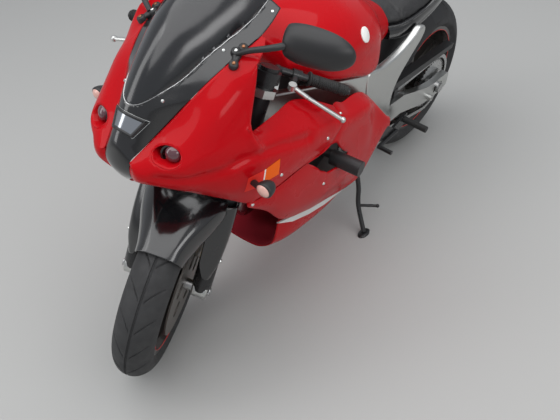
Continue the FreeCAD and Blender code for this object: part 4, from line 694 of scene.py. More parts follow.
# %% Upper fairing
CUT_ROW = 6
FAIRING_NET = np.array([
    [(1499, 41, 828), (1501, 42, 820), (1503, 41, 808), (1503, 40, 796), (1499, 37, 782), (1492, 32, 766),
     (1474, 12, 741)],
    [(1498, 43, 830), (1502, 60, 824), (1504, 72, 812), (1503, 77, 799), (1500, 75, 785), (1492, 60, 768),
     (1475, 14, 742)],
    [(1449, 60, 868), (1450, 108, 862), (1452, 138, 840), (1453, 149, 819), (1452, 151, 797),
     (1444, 132, 758), (1424, 92, 722)],
    [(1399, 80, 910), (1400, 138, 894), (1402, 170, 858), (1402, 179, 829), (1400, 182, 796),
     (1394, 170, 744), (1376, 140, 700)],
    [(1334, 112, 976), (1335, 168, 938), (1336, 200, 876), (1336, 213, 835), (1336, 224, 793),
     (1333, 216, 726), (1318, 188, 668)],
    [(1277, 130, 1013), (1280, 180, 972), (1286, 212, 892), (1282, 231, 848), (1280, 245, 808),
     (1280, 241, 722), (1270, 212, 636)],
    [(1228, 139, 1032), (1226, 188, 1027), (1276, 215, 878), (1256, 228, 840), (1250, 248, 806),
     (1250, 248, 722), (1240, 228, 646)],
    [(1206, 142, 1038), (1204, 182, 1034), (1222, 190, 842), (1200, 219, 828), (1190, 250, 796),
     (1190, 255, 724), (1190, 243, 658)],
    [(1192, 144, 1042), (1190, 176, 1038), (1134, 180, 833), (1128, 217, 816), (1128, 251, 783),
     (1128, 259, 725), (1128, 250, 668)],
    [(1180, 145, 1046), (1178, 170, 1042), (1050, 172, 826), (1045, 213, 800), (1041, 251, 757),
     (1041, 258, 708), (1041, 252, 664)],
    [(1170, 146, 1049), (1168, 164, 1046), (970, 190, 790), (962, 224, 765), (960, 249, 732),
     (960, 255, 696), (960, 251, 662)],
    [(1160, 146, 1052), (1158, 156, 1050), (909, 212, 752), (906, 235, 733), (905, 248, 719),
     (905, 252, 709), (905, 250, 700)]], float)
PER_ROW, PER_COLUMN = 14, 12
fairing_grid = net_surface(FAIRING_NET, PER_ROW, PER_COLUMN)
tongue = net_surface(FAIRING_NET[:, :2], PER_ROW, PER_COLUMN)
shoulder = net_surface(FAIRING_NET[:, 2:], PER_ROW, PER_COLUMN)
apart = smooth_step(np.arange(len(fairing_grid)) / PER_ROW - CUT_ROW + 1)[:, None, None]
upper, lower = slice(0, PER_COLUMN + 1), slice(2 * PER_COLUMN, None)
fairing_grid[:, upper] += apart * (tongue - fairing_grid[:, upper])
fairing_grid[:, lower] += apart * (shoulder - fairing_grid[:, lower])


def crease(grid, line, lift, width):
    """A soft fold: points move along the surface's normal by lift times exp(-(distance / width)^2)."""
    gaps = np.linalg.norm(grid[..., None, :] - flow(line, 120), axis=-1).min(-1)
    facing = np.cross(np.gradient(grid, axis=0), np.gradient(grid, axis=1))
    facing /= np.maximum(np.linalg.norm(facing, axis=-1), 1e-9)[..., None]
    facing *= np.sign((facing * (grid - BEHIND)).sum(-1))[..., None]
    grid += lift * np.exp(-(gaps / width) ** 2)[..., None] * facing


LIP_DEPTH, LIP_WIDTH = -9, 15
POCKET_RISE, POCKET_WIDTH = 6, 10
LIP_LINE = [(1481, 112, 801), (1449, 156, 801), (1420, 172, 798), (1387, 191, 799), (1364, 206, 804),
            (1332, 222, 816), (1302, 235, 822), (1240, 246, 813), (1186, 248, 799), (1133, 253, 780),
            (1073, 254, 759)]
POCKET_LINE = [(1280, 216, 883), (1282, 223, 867), (1277, 230, 851), (1269, 234, 840), (1255, 239, 828)]
crease(fairing_grid, LIP_LINE, LIP_DEPTH, LIP_WIDTH)
crease(fairing_grid, POCKET_LINE, POCKET_RISE, POCKET_WIDTH)
all_faces = grid_faces(*fairing_grid.shape[:2])
fairing_row = all_faces[:, 0] // fairing_grid.shape[1]
fairing_column = all_faces[:, 0] % fairing_grid.shape[1]
opening = ((fairing_row >= CUT_ROW * PER_ROW) & (fairing_column >= PER_COLUMN)
           & (fairing_column < 2 * PER_COLUMN))
LAMP_CORNERS = [(1466, 79, 854), (1453, 79, 863), (1439, 96, 873), (1432, 116, 875), (1430, 135, 868),
                (1434, 144, 856), (1445, 146, 841), (1456, 138, 833), (1464, 128, 831), (1472, 111, 834),
                (1475, 92, 842)]
lamp_outline = outline_of(nearest_cells(fairing_grid, LAMP_CORNERS), rounded=True)
fairing_points, fairing_faces, _ = cut_grid(fairing_grid, [lamp_outline], all_faces[~opening])
left, right_side = pair("upper_fairing_skin", fairing_points, fairing_faces, red, wall=4, inside=BEHIND)
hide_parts("upper_fairing_left")
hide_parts("upper_fairing_right")
print("upper fairing", fairing_grid.shape, "faces each side", len(fairing_faces))

# %% [markdown]
# ## Headlamps
# Each lamp is a projector at the outer end of a red bowl sunk into the cheek, with a black ring
# round it. The opening's edge is a free curve, so a turned dish wouldn't meet it. The bowl starts
# on that edge: at depth t its outline is drawn in towards its middle by a share of t, and it sinks
# as sin(pi t / 2), so it leaves the cheek steeply and ends flat. The third lens is the mirror-like
# one in the nose, taken straight from the nose's grid.

# %% Headlamps
BOWL_RINGS, BOWL_SHRINK = 9, 0.34
SINK = np.array([-34.0, -18.0, -6.0])
PROJECTOR_AT = np.array([1435.0, 118, 853])
PROJECTOR_AXIS = (0.88, 0.42, 0.22)
RING_BACK = [2, 6, 5]
BOWL_INSIDE = PROJECTOR_AT - [60, 20, 10]
NOSE_GLASS_LIFT = [0.8, 0, 0.4]
LENS_PROFILE = [(0, 11), (8, 10), (14, 7.4), (18, 4), (20.5, 0), (20.5, -14), (0, -14)]
RING_PROFILE = [(20.6, 1), (23, 4), (27, 4), (29, 0), (29, -16), (20.6, -16), (20.6, 1)]
edge = sample(fairing_grid, lamp_outline)
t = np.linspace(0, 1, BOWL_RINGS)[:, None, None]
bowl = edge.mean(0) + (edge - edge.mean(0)) * (1 - BOWL_SHRINK * t) + SINK * np.sin(t * math.pi / 2)
bowl_points = np.concatenate([bowl.reshape(-1, 3), bowl[-1:].mean(1)])
bowl_faces = grid_faces(BOWL_RINGS, len(edge), wrap_columns=True).tolist()
last_ring = (BOWL_RINGS - 1) * len(edge)
step = np.arange(len(edge))
middle_point = len(bowl_points) - 1
bowl_faces += [[middle_point, last_ring + a, last_ring + b] for a, b in zip(step, np.roll(step, -1))]
pair("lamp_bowl", bowl_points, bowl_faces, red, wall=2, inside=BOWL_INSIDE)
ring_points, ring_faces = spun(RING_PROFILE, PROJECTOR_AT - RING_BACK, PROJECTOR_AXIS, 48)
pair("lamp_ring", ring_points, ring_faces, black)
glass_points, glass_faces = spun(LENS_PROFILE, PROJECTOR_AT, PROJECTOR_AXIS, 48)
glass_faces = outward(glass_points, glass_faces)
nose_glass = (front_points + NOSE_GLASS_LIFT, outward(front_points, lens_faces.tolist(), BEHIND))
lamp_points, lamp_all = joined([(glass_points, glass_faces),
                                (mirror_points(glass_points), turned_faces(glass_faces)), nose_glass])
lenses = mesh_piece("headlamp_lenses", lamp_points, lamp_all, "chassis", projector_glass, inside=BEHIND)
lenses.data.materials.append(lamp_mirror)
for face in lenses.data.polygons[-len(nose_glass[1]):]:
    face.material_index = 1
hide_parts("headlamps")
print("lamp bowl", bowl.shape, "lenses", len(lamp_all), "faces")

# %% [markdown]
# ## Lower fairing
# The lower side panel hangs from the seam, stands out at its middle and tucks in below. Behind
# the shoulder its top folds inwards along a crease. A slanted vent lets the radiator's hot air
# out, and the crash slider's bolt passes through the vent's rear end. It is a net like the one
# above it. The vent is cut from the finished surface, so the panel's curve runs on round it.

# %% Lower fairing
LOWER_NET = [
    [(574, 232, 533), (574, 236, 530), (574, 239, 522), (574, 240, 512), (574, 240, 505), (574, 240, 498)],
    [(602, 228, 558), (600, 237, 550), (600, 240, 535), (600, 241, 520), (600, 241, 508), (600, 240, 496)],
    [(690, 198, 664), (680, 224, 636), (680, 232, 590), (680, 240, 520), (684, 238, 440),
     (688, 228, 364)],
    [(756, 196, 706), (742, 238, 672), (740, 245, 620), (738, 247, 530), (742, 238, 430),
     (748, 214, 332)],
    [(846, 206, 727), (850, 247, 692), (850, 251, 620), (850, 250, 530), (850, 240, 440),
     (850, 206, 348)],
    [(905, 211, 748), (905, 249, 702), (905, 253, 616), (905, 252, 530), (905, 240, 446),
     (905, 204, 360)],
    [(960, 249, 663), (960, 250, 661), (960, 256, 610), (960, 252, 530), (960, 238, 450),
     (960, 202, 374)],
    [(1100, 248, 667), (1100, 249, 666), (1100, 252, 620), (1100, 246, 560), (1100, 232, 500),
     (1100, 208, 444)],
    [(1190, 239, 657), (1190, 240, 656), (1190, 240, 630), (1192, 236, 606), (1192, 228, 578),
     (1190, 212, 548)],
    [(1272, 213, 637), (1272, 213, 636), (1273, 212, 632), (1273, 212, 628), (1272, 211, 624),
     (1270, 210, 620)]]
VENT_CORNERS = [(1067, 250, 661), (1014, 251, 661), (960, 250, 659), (902, 253, 616), (844, 251, 560),
                (874, 252, 550), (903, 253, 541), (932, 254, 551), (960, 255, 560), (996, 255, 592),
                (1030, 252, 626)]
lower_grid = net_surface(LOWER_NET, 16, 14)
vent_outline = outline_of(nearest_cells(lower_grid, VENT_CORNERS))
lower_points, lower_faces, vent_faces = cut_grid(lower_grid, [vent_outline])
left, right_side = pair("lower_fairing_skin", lower_points, lower_faces, red, wall=4, inside=(900, 0, 520))
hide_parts("lower_fairing_left")
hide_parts("lower_fairing_right")
print("lower fairing", lower_grid.shape, "vent", len(vent_faces[0]), "faces taken out")

# %% [markdown]
# ## Turn signals
# A signal is a rubber stalk and a body like an egg, deep behind and shallow in front, under a
# domed pink lens. A scaled sphere would be as deep behind as in front, so the egg is a turned
# half circle whose two halves are stretched by different depths.

# %% Signals
FRONT_SIGNAL, SIGNAL_OUT = np.array([1290.0, 239, 742]), np.array([20.0, 50, 16])
REAR_SIGNAL, REAR_OUT = np.array([-333.0, 65.3, 762]), np.array([0.0, 58, 0])
EGG_STEPS = 20
STALK_RADIUS = 8.5
LENS_BACK = 40


def egg(centre, size, ahead, whole=True):
    """A turned egg, radius sin(a) and depth cos(a); size is front and back depth, width and height."""
    front, back, wide, tall = size
    a = np.linspace(0, math.pi if whole else math.pi / 2, EGG_STEPS)
    profile = np.stack([np.sin(a), np.cos(a)], axis=1)
    profile[0, 0] = 0
    if whole:
        profile[-1, 0] = 0
    points, faces = spun(profile, (0, 0, 0), (ahead, 0, 0), 32)
    depth = np.where(points[:, 0] * ahead > 0, front, back)
    stretch = np.stack([depth, np.full(len(points), wide), np.full(len(points), tall)], axis=1)
    points = points * stretch + centre
    return points, outward(points, faces)


def signal_parts(root, out, size, ahead):
    """Stalk and body on the left, then the same on the right."""
    stalk_points, stalk_faces = tube_points([root, root + out * 0.5, root + out], STALK_RADIUS, 20)
    body_points, body_faces = egg(root + out, size, ahead)
    stalk_faces = outward(stalk_points, stalk_faces)
    return [(stalk_points, stalk_faces), (body_points, body_faces),
            (mirror_points(stalk_points), turned_faces(stalk_faces)),
            (mirror_points(body_points), turned_faces(body_faces))]


# Front and back depth, width and height of each body and lens
FRONT_EGG, REAR_EGG = (7, 36, 23.5, 21), (6, 28, 23, 19)
FRONT_LENS, REAR_LENS = (11, 0, 20.5, 18), (10, 0, 20, 16.5)
signal_points, signal_faces = joined(signal_parts(FRONT_SIGNAL, SIGNAL_OUT, FRONT_EGG, 1)
                                     + signal_parts(REAR_SIGNAL, REAR_OUT, REAR_EGG, -1))
signals = mesh_piece("signal_bodies", signal_points, signal_faces, "chassis", satin, smooth=60,
                     inside=(400, 0, 740))
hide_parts("signals")
for name, centre, size, ahead in (("front_signal_lens", FRONT_SIGNAL + SIGNAL_OUT, FRONT_LENS, 1),
                                  ("rear_signal_lens", REAR_SIGNAL + REAR_OUT, REAR_LENS, -1)):
    points, faces = egg(centre, size, ahead, whole=False)
    pair(name, points, faces, amber_lens, inside=centre - np.array([ahead * LENS_BACK, 0, 0]))
print("signals", len(signal_faces), "faces")

# %% [markdown]
# ## Reflector and screws
# Beside the signal's stalk the cheek carries a flat reflector in red, white and orange. A flat
# plate would cut into the curved cheek, so each colour is a patch of the fairing's own grid,
# lifted off the paint by less than a millimetre. The screws are small turned domes on the panel.

# %% Reflector and screws
STICKER_LIFT = 0.7
STICKERS = (("reflector_front", marker_red), ("reflector_line", marker_white),
            ("reflector_rear", marker_orange))
STICKER_TOP = [(1306, 237, 764), (1258, 249, 767), (1253, 250, 767), (1203, 254, 770)]
STICKER_LOW = [(1307, 226, 711), (1260, 247, 721), (1255, 248, 722), (1203, 253, 718)]
for number, (name, tone) in enumerate(STICKERS):
    corners = [STICKER_LOW[number], STICKER_TOP[number], STICKER_TOP[number + 1], STICKER_LOW[number + 1]]
    sticker_outline = outline_of(nearest_cells(fairing_grid, corners))
    points, _, (patch,) = cut_grid(fairing_grid, [sticker_outline])
    pair(name, points + [0, STICKER_LIFT, 0], patch, tone, inside=BEHIND)
SCREW_AXIS = (0.1, 0.98, 0.15)
SCREWS = {"seam_front": (1190, 253.5, 707), "seam_rear": (987, 256.5, 705), "belly_rear": (967, 251, 520),
          "shoulder_top": (895, 233, 725), "chin": (1258, 217, 626)}
SCREW_PROFILE = [(0, 2.4), (4, 2.0), (5.4, 0), (5.4, -3)]
for label, at in SCREWS.items():
    points, faces = spun(SCREW_PROFILE, at, SCREW_AXIS, 20)
    pair("fairing_screw_" + label, points, faces, polished)
print("stickers", len(STICKERS), "and screws", len(SCREWS), "a side")

# %% [markdown]
# ## Mirrors
# A mirror stands on a foot with three screws, on a slim arm. Its housing is a teardrop, which a
# squeezed sphere doesn't give: rows go across the bike, and each row is half an ellipse ahead of
# the glass, closed by the flat back that the glass is set into.

# %% Mirrors
HOUSING = [  # across the bike, half height, depth ahead of the glass
    (-80, 16, 14), (-77, 32, 27), (-68, 42, 36), (-40, 49, 42), (0, 50, 42), (40, 45, 37), (68, 34, 26),
    (84, 20, 14), (90, 6, 5)]
HOUSING_AT = np.array([1138.0, 287, 1068])
HOUSING_YAW = math.radians(14)
GLASS_BACK = -6
GLASS_SHARE, GLASS_GAP = 0.88, 1.5
BOSS_AXIS = (0.3, 0.32, 0.9)
BOSS_PROFILE = [(0, 8), (9, 8), (11, 6), (12, -4), (0, -4)]
BOSS_SCREW_PROFILE = [(0, 11), (3, 11), (4.6, 9.4), (4.6, 7)]
WEB_RADIUS = 6.5
FOOT_BOSSES = [(1214, 137, 1040), (1232, 130, 1035), (1258, 146, 1021)]
ARM_PATH = [(1236, 139, 1037), (1226, 166, 1052), (1208, 205, 1066), (1180, 226, 1069), (1158, 232, 1068)]
ARM_STEPS, ARM_RADII = 25, (6.5, 9)


def housing_points(rows, shrink=1.0, back=GLASS_BACK):
    """Rows of the housing: an ellipse from the top's edge round the front to the bottom's edge."""
    rows = flow(rows, (len(rows) - 1) * 6 + 1)
    a = np.linspace(math.pi / 2, -math.pi / 2, 25)
    tall = np.maximum(rows[:, 1:2], 2) * shrink
    x = back + np.maximum(rows[:, 2:3], 2) * shrink * np.cos(a)
    y = np.broadcast_to(rows[:, 0:1] * shrink, x.shape)
    return np.stack([x, y, tall * np.sin(a)], axis=2)


def set_housing(points):
    """Turned a little outwards and carried to the mirror's place."""
    c, s = math.cos(HOUSING_YAW), math.sin(HOUSING_YAW)
    x, y, z = np.moveaxis(points, -1, 0)
    return np.stack([x * c - y * s, x * s + y * c, z], axis=-1) + HOUSING_AT


shell = set_housing(housing_points(HOUSING))
shell_points, shell_faces = body_mesh(shell)
arm_points, arm_faces = tube_points(flow(ARM_PATH, ARM_STEPS), np.linspace(*ARM_RADII, ARM_STEPS), 20)
parts = [(shell_points, outward(shell_points, shell_faces)), (arm_points, outward(arm_points, arm_faces))]
for boss in FOOT_BOSSES:
    points, faces = spun(BOSS_PROFILE, boss, BOSS_AXIS, 28)
    parts.append((points, outward(points, faces)))
for a, b in ((0, 2), (1, 2), (0, 1)):
    points, faces = tube_points([FOOT_BOSSES[a], FOOT_BOSSES[b]], WEB_RADIUS, 14)
    parts.append((points, outward(points, faces)))
left_points, left_faces = joined(parts)
both_points, both_faces = joined([(left_points, left_faces),
                                  (mirror_points(left_points), turned_faces(left_faces))])
mirrors = mesh_piece("mirror_housings", both_points, both_faces, "chassis", satin, smooth=50,
                     inside=(1100, 0, 1060))
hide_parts("mirrors")
glass_at = GLASS_BACK - GLASS_GAP
flat_glass = housing_points(HOUSING, GLASS_SHARE, glass_at) * [0, 1, 1] + [glass_at, 0, 0]
glass_grid = set_housing(flat_glass)
glass_left = (glass_grid.reshape(-1, 3), grid_faces(*glass_grid.shape[:2]).tolist())
glass_right = (mirror_points(glass_left[0]), turned_faces(glass_left[1]))
glass_all, glass_all_faces = joined([glass_left, glass_right])
glasses = mesh_piece("mirror_glasses", glass_all, glass_all_faces, "chassis", glass_mirror, wall=1.5,
                     inside=(1400, 0, 1068))
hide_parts("mirror_glass")
for number, boss in enumerate(FOOT_BOSSES):
    points, faces = spun(BOSS_SCREW_PROFILE, boss, BOSS_AXIS, 20)
    pair(f"mirror_screw_{number}", points, faces, copper if number != 1 else polished)
print("mirror housing", shell.shape)

# %% [markdown]
# ## Front mudguard
# The gloss black hood covers the tyre, widens as it climbs and runs into a guard down each leg.
# Bending a flat strip round the wheel would lose its changing width, so its rows stand on spokes
# of the wheel: a row has its angle, half width, and the radius of its crown and of its edge.
# Across it, y follows a sine and the radius (1 - cos)^1.3, a full arch.

# %% Front mudguard
HOOD = [  # spoke angle, half width, crown radius, edge radius
    (63, 65, 311, 258), (69, 70, 313, 251), (78, 82, 317, 252), (92, 104, 326, 262), (106, 118, 333, 280),
    (122, 114, 332, 286), (138, 94, 322, 266), (152, 74, 315, 254), (160, 68, 313, 252)]
GUARD_NET = [  # ahead of the leg, up along it, out from the centre plane
    [(46, 62, 104), (40, 56, 116), (30, 58, 124)], [(60, 108, 88), (38, 106, 131), (6, 108, 135)],
    [(64, 160, 84), (38, 160, 136), (0, 162, 138)], [(64, 220, 82), (36, 220, 137), (-6, 222, 139)],
    [(58, 292, 80), (32, 300, 134), (-12, 304, 137)]]
HOOD_ROWS, HOOD_COLUMNS, HOOD_ARCH = 97, 65, 1.3
GUARD_SCREWS = ((22, 190), (24, 122))
GUARD_SCREW_OUT = 138
GUARD_SCREW_PROFILE = [(0, 4), (5, 3.4), (7, 0), (7, -4)]
hood_rows = flow(HOOD, HOOD_ROWS)
s = np.linspace(-1, 1, HOOD_COLUMNS)
spoke = np.radians(hood_rows[:, 0:1])
turn = s * math.pi / 2
reach = hood_rows[:, 2:3] + (hood_rows[:, 3:4] - hood_rows[:, 2:3]) * (1 - np.cos(turn)) ** HOOD_ARCH
hood_grid = np.stack([reach * np.cos(spoke), hood_rows[:, 1:2] * np.sin(turn),
                      reach * np.sin(spoke)], axis=2) + FRONT_AXLE


def on_leg(points):
    """From steps ahead, up and out to drawn points, measured from the front axle."""
    ahead, upward, out = np.moveaxis(np.asarray(points, float), -1, 0)[..., None]
    return FRONT_AXLE + ahead * FORK_AHEAD + upward * FORK_UP + out * [0, 1, 0]


guard_grid = on_leg(net_surface(GUARD_NET, 12, 14))
guard_faces = outward(guard_grid.reshape(-1, 3), grid_faces(*guard_grid.shape[:2]).tolist(), FRONT_AXLE)
hood_part = (hood_grid.reshape(-1, 3),
             outward(hood_grid.reshape(-1, 3), grid_faces(*hood_grid.shape[:2]).tolist(), FRONT_AXLE))
guard_left = (guard_grid.reshape(-1, 3), guard_faces)
guard_right = (mirror_points(guard_left[0]), turned_faces(guard_faces))
fender_points, fender_faces = joined([hood_part, guard_left, guard_right])
fender = mesh_piece("fender_hood", fender_points, fender_faces, "fork", black, place=fork, wall=3,
                    inside=FRONT_AXLE)
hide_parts("front_fender")
for number, (ahead, upward) in enumerate(GUARD_SCREWS):
    for side, label in ((1, "left"), (-1, "right")):
        at = on_leg((ahead, upward, side * GUARD_SCREW_OUT))
        points, faces = spun(GUARD_SCREW_PROFILE, at, (0.2, side, 0.1), 20)
        mesh_piece(f"guard_screw_{number}_{label}", points, faces, "fork", polished, place=fork)
print("hood", hood_grid.shape, "guards", guard_grid.shape)

# %% [markdown]
# ## Fork feet
# The foot of each fork leg is a cast boss round the axle, with a lug behind it for the brake
# caliper, under the leg's dark lower end. All three are turned or round forms, so a profile spun
# about its axis gives each with its rounded edges already in the profile.

# %% Fork feet
FORK_SPREAD = 105
NECK_PROFILE = [(0, -6), (25, -4), (29, 4), (29, 96), (26, 104), (0, 104)]
AXLE_BOSS_PROFILE = [(0, -23), (23, -23), (27, -19), (27, 19), (23, 23), (0, 23)]
LUG_ENDS, LUG_RADIUS = np.array([(-6, 44, 96), (-74, 60, 92)]), 12
foot_parts = []
for side, label in ((1, "left"), (-1, "right")):
    leg_foot = FRONT_AXLE + [0, side * FORK_SPREAD, 0]
    boss = spun(AXLE_BOSS_PROFILE, leg_foot, (0, 1, 0), 40)
    lug = tube_points(on_leg(LUG_ENDS * [1, 1, side]), LUG_RADIUS, 16)
    foot_parts += [(points, outward(points, faces)) for points, faces in (boss, lug)]
    points, faces = spun(NECK_PROFILE, leg_foot, FORK_UP, 40)
    mesh_piece("fork_leg_end_" + label, points, faces, "fork", enamel, place=fork)
foot_points, foot_faces = joined(foot_parts)
feet = mesh_piece("fork_feet", foot_points, foot_faces, "fork", alloy, place=fork, inside=FRONT_AXLE)
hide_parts("axle_clamps")
print("fork feet", len(foot_faces), "faces")

# %% [markdown]
# ## Hand grips
# The grips are ribbed rubber sleeves. A bump in the material would leave their outline smooth, so
# the ribs are real: the radius along the sleeve is a row of shallow waves with flat tops, and a
# bell curve makes the flange at the inner end where the thumb rests.

# %% Grips
BAR_FROM, BAR_LINE = np.array([1073.0, 122, 897]), np.array([-45.0, 125, -28])
GRIP_AT, GRIP_LONG, GRIP_RADIUS = 86, 118, 16.5
RIB_HIGH, RIB_PITCH = 0.9, 5.9
FLANGE_HIGH, FLANGE_AT, FLANGE_WIDE = 6.0, 4, 3.0
bar_line = BAR_LINE / np.linalg.norm(BAR_LINE)
along = np.linspace(0, GRIP_LONG, 119)
wave = GRIP_RADIUS - RIB_HIGH + RIB_HIGH * np.clip(np.sin(along * 2 * math.pi / RIB_PITCH) * 2, -1, 1)
wave = wave + FLANGE_HIGH * np.exp(-((along - FLANGE_AT) / FLANGE_WIDE) ** 2)
profile = np.concatenate([[(0, 0)], np.stack([wave, along], axis=1), [(0, GRIP_LONG)]])
grip_points, grip_faces = spun(profile, BAR_FROM + bar_line * GRIP_AT, bar_line, 40)
grip_faces = outward(grip_points, grip_faces)
both_points, both_faces = joined([(grip_points, grip_faces),
                                  (mirror_points(grip_points), turned_faces(grip_faces))])
grips = mesh_piece("ribbed_grips", both_points, both_faces, "fork", rubber, place=fork, smooth=60,
                   inside=(1000, 0, 860))
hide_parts("grips")
print("grip waves", len(along), "rings")

# %% [markdown]
# ## Belly pan
# The belly pan is a trough under the engine, open on top and in front. It is an open sheet with
# a wall, so that its inner side shows: its half sections are mirrored and a smooth surface runs
# through them from the back to the front. The inner side takes a lighter, dull red of its own,
# painted light that brightens the shade inside the trough.

# %% Belly pan
BELLY_STATIONS = [  # place along the bike, then a half section of y and z from the rim to the keel
    (600, [(172, 330), (150, 262), (96, 214), (50, 206), (0, 205)]),
    (680, [(181, 322), (156, 243), (98, 198), (50, 190), (0, 188)]),
    (750, [(186, 312), (160, 228), (100, 186), (50, 177), (0, 175)]),
    (850, [(190, 332), (166, 238), (104, 188), (50, 178), (0, 176)]),
    (950, [(190, 352), (168, 254), (104, 196), (50, 184), (0, 182)]),
    (1020, [(184, 378), (166, 270), (110, 212), (56, 198), (0, 195)]),
    (1075, [(176, 400), (160, 290), (112, 236), (60, 220), (0, 216)])]
belly_net = [[(x, y, z) for y, z in half] + [(x, -y, z) for y, z in half[-2::-1]]
             for x, half in BELLY_STATIONS]
belly_grid = net_surface(belly_net, 8, 8)
belly = mesh_piece("belly_skin", belly_grid.reshape(-1, 3), grid_faces(*belly_grid.shape[:2]), "chassis",
                   red, wall=4, inside=(840, 0, 420))
# The wall's inner side takes the lighter red: painted light over the shade inside the trough
belly.data.materials.append(painted_light_inner_red)
belly.modifiers["wall"].material_offset = 1
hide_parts("belly_pan")
print("belly", belly_grid.shape)

# %% [markdown]
# ## Tank, tail and seat
# These are closed bodies drawn as stations along the bike, the way a boat's hull is drawn. A
# subdivided box would do, but its shape couldn't be read from numbers. Each station is half a
# section from its top to its bottom; it is mirrored to a ring, the ring is smoothed, and so is
# the run of rings. Both ends are closed by a fan of faces.


# %% Tank and tail
def closed_flow(ring, count):
    """Catmull-Rom round a closed ring of points."""
    ring = np.asarray(ring, float)
    looped = np.concatenate([ring[-1:], ring, ring[:2]])
    t = np.linspace(0, len(ring), count, endpoint=False)
    span = t.astype(int)
    f = (t - span)[:, None]
    return four_blend(*(looped[span + step] for step in range(4)), f)


def body_grid(stations, per_row=10, around=96):
    """Rings of a closed body: mirrored half sections, smoothed round and along."""
    rings = []
    for x, half in stations:
        ring = [(x, y, z) for y, z in half] + [(x, -y, z) for y, z in half[-2:0:-1]]
        rings.append(closed_flow(ring, around))
    return flow(np.array(rings), (len(stations) - 1) * per_row + 1)


TANK = [
    (985, [(0, 905), (70, 896), (98, 868), (96, 842), (78, 826), (40, 824), (0, 824)]),
    (925, [(0, 950), (96, 930), (146, 880), (152, 842), (124, 806), (60, 802), (0, 802)]),
    (850, [(0, 966), (112, 938), (170, 880), (180, 830), (166, 784), (76, 772), (0, 772)]),
    (740, [(0, 960), (118, 930), (177, 868), (184, 806), (174, 742), (76, 732), (0, 732)]),
    (650, [(0, 934), (112, 906), (168, 846), (177, 784), (170, 702), (76, 698), (0, 698)]),
    (590, [(0, 908), (100, 884), (150, 834), (164, 780), (158, 694), (70, 690), (0, 690)]),
    (545, [(0, 880), (88, 862), (126, 820), (138, 776), (122, 712), (60, 706), (0, 706)]),
    (452, [(0, 824), (62, 818), (96, 792), (110, 762), (104, 728), (50, 720), (0, 720)])]
TAIL = [
    (446, [(0, 755), (96, 757), (112, 748), (118, 728), (112, 712), (60, 706), (0, 706)]),
    (380, [(0, 755), (124, 757), (138, 748), (143, 726), (132, 704), (60, 700), (0, 700)]),
    (250, [(0, 768), (136, 770), (145, 760), (147, 738), (138, 716), (60, 706), (0, 706)]),
    (140, [(0, 800), (132, 801), (144, 788), (146, 762), (132, 736), (60, 724), (0, 724)]),
    (60, [(0, 837), (104, 839), (130, 826), (136, 796), (120, 764), (50, 748), (0, 748)]),
    (-120, [(0, 871), (90, 873), (108, 860), (112, 834), (96, 806), (40, 792), (0, 792)]),
    (-200, [(0, 887), (66, 889), (92, 880), (96, 856), (80, 830), (36, 818), (0, 818)]),
    (-330, [(0, 916), (34, 915), (50, 908), (52, 892), (42, 876), (20, 868), (0, 868)])]
tank_grid = body_grid(TANK)
points, faces = body_mesh(tank_grid)
tank = mesh_piece("tank_skin", points, faces, "chassis", red, smooth=60)
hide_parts("fuel_tank")
tail_grid = body_grid(TAIL)
points, faces = body_mesh(tail_grid)
tail = mesh_piece("tail_skin", points, faces, "chassis", black, smooth=60)
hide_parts("tail_cowl")
print("tank", tank_grid.shape, "tail", tail_grid.shape)

# %% [markdown]
# ## The seat, as a stuffed pad
# The seat is foam under stretched vinyl: crowned in the middle, drawn in along its sides where
# the cover is pulled under the base, with a low step between rider and passenger. The recipe is
# a cloth simulation: the closed shape is remeshed evenly, a little pressure swells it, each
# point's travel is capped, and then the seam lines are pressed in.

# %% Seat
SEAT = [
    (451.7, [(0, 816), (60, 810), (90, 790), (96, 772), (90, 759), (50, 757), (0, 757)]),
    (380, [(0, 803), (82, 799), (120, 780), (127, 764), (120, 754), (60, 752), (0, 752)]),
    (250, [(0, 809), (102, 805), (134, 788), (141, 776), (133, 766), (70, 765), (0, 765)]),
    (140, [(0, 835), (94, 831), (129, 816), (135, 806), (127, 797), (60, 796), (0, 796)]),
    (60, [(0, 881), (74, 875), (101, 860), (105, 850), (99, 842), (50, 840), (0, 840)]),
    (-120, [(0, 909), (64, 903), (87, 890), (91, 882), (85, 875), (40, 874), (0, 874)]),
    (-200, [(0, 915), (48, 911), (62, 903), (66, 896), (62, 891), (30, 890), (0, 890)])]
VOXEL = 0.005
CAP = 0.007
PRESSURE, CLOTH_FRAMES = 4, 12
SEAMS = [(392, 3.0), (150, 3.5), (20, 3.0)]  # place along the bike, and how deep it is pressed
SEAM_WIDE = 3.0
SEAT_CORE = np.array([0, 790.0])


def swell(piece):
    """Remesh evenly, let a light pressure swell the cover, and cap each point's travel."""
    even = piece.modifiers.new("even", "REMESH")
    even.mode = "VOXEL"
    even.voxel_size = VOXEL
    graph = bpy.context.evaluated_depsgraph_get()
    mesh = bpy.data.meshes.new_from_object(piece.evaluated_get(graph))
    piece.modifiers.remove(even)
    piece.data = mesh
    start = np.zeros(len(mesh.vertices) * 3)
    mesh.vertices.foreach_get("co", start)
    start = start.reshape(-1, 3)
    cloth = piece.modifiers.new("cover", "CLOTH")
    cloth.settings.use_pressure = True
    cloth.settings.uniform_pressure_force = PRESSURE
    cloth.settings.effector_weights.gravity = 0
    cloth.settings.quality = 4
    cloth.collision_settings.use_collision = False
    for step in range(1, CLOTH_FRAMES + 1):
        scene.frame_set(step)
    graph = bpy.context.evaluated_depsgraph_get()
    shaped = bpy.data.meshes.new_from_object(piece.evaluated_get(graph))
    piece.modifiers.remove(cloth)
    scene.frame_set(1)
    end = np.zeros(len(shaped.vertices) * 3)
    shaped.vertices.foreach_get("co", end)
    travel = end.reshape(-1, 3) - start
    length = np.maximum(np.linalg.norm(travel, axis=1), 1e-9)[:, None]
    return start + travel * np.minimum(1, CAP / length)


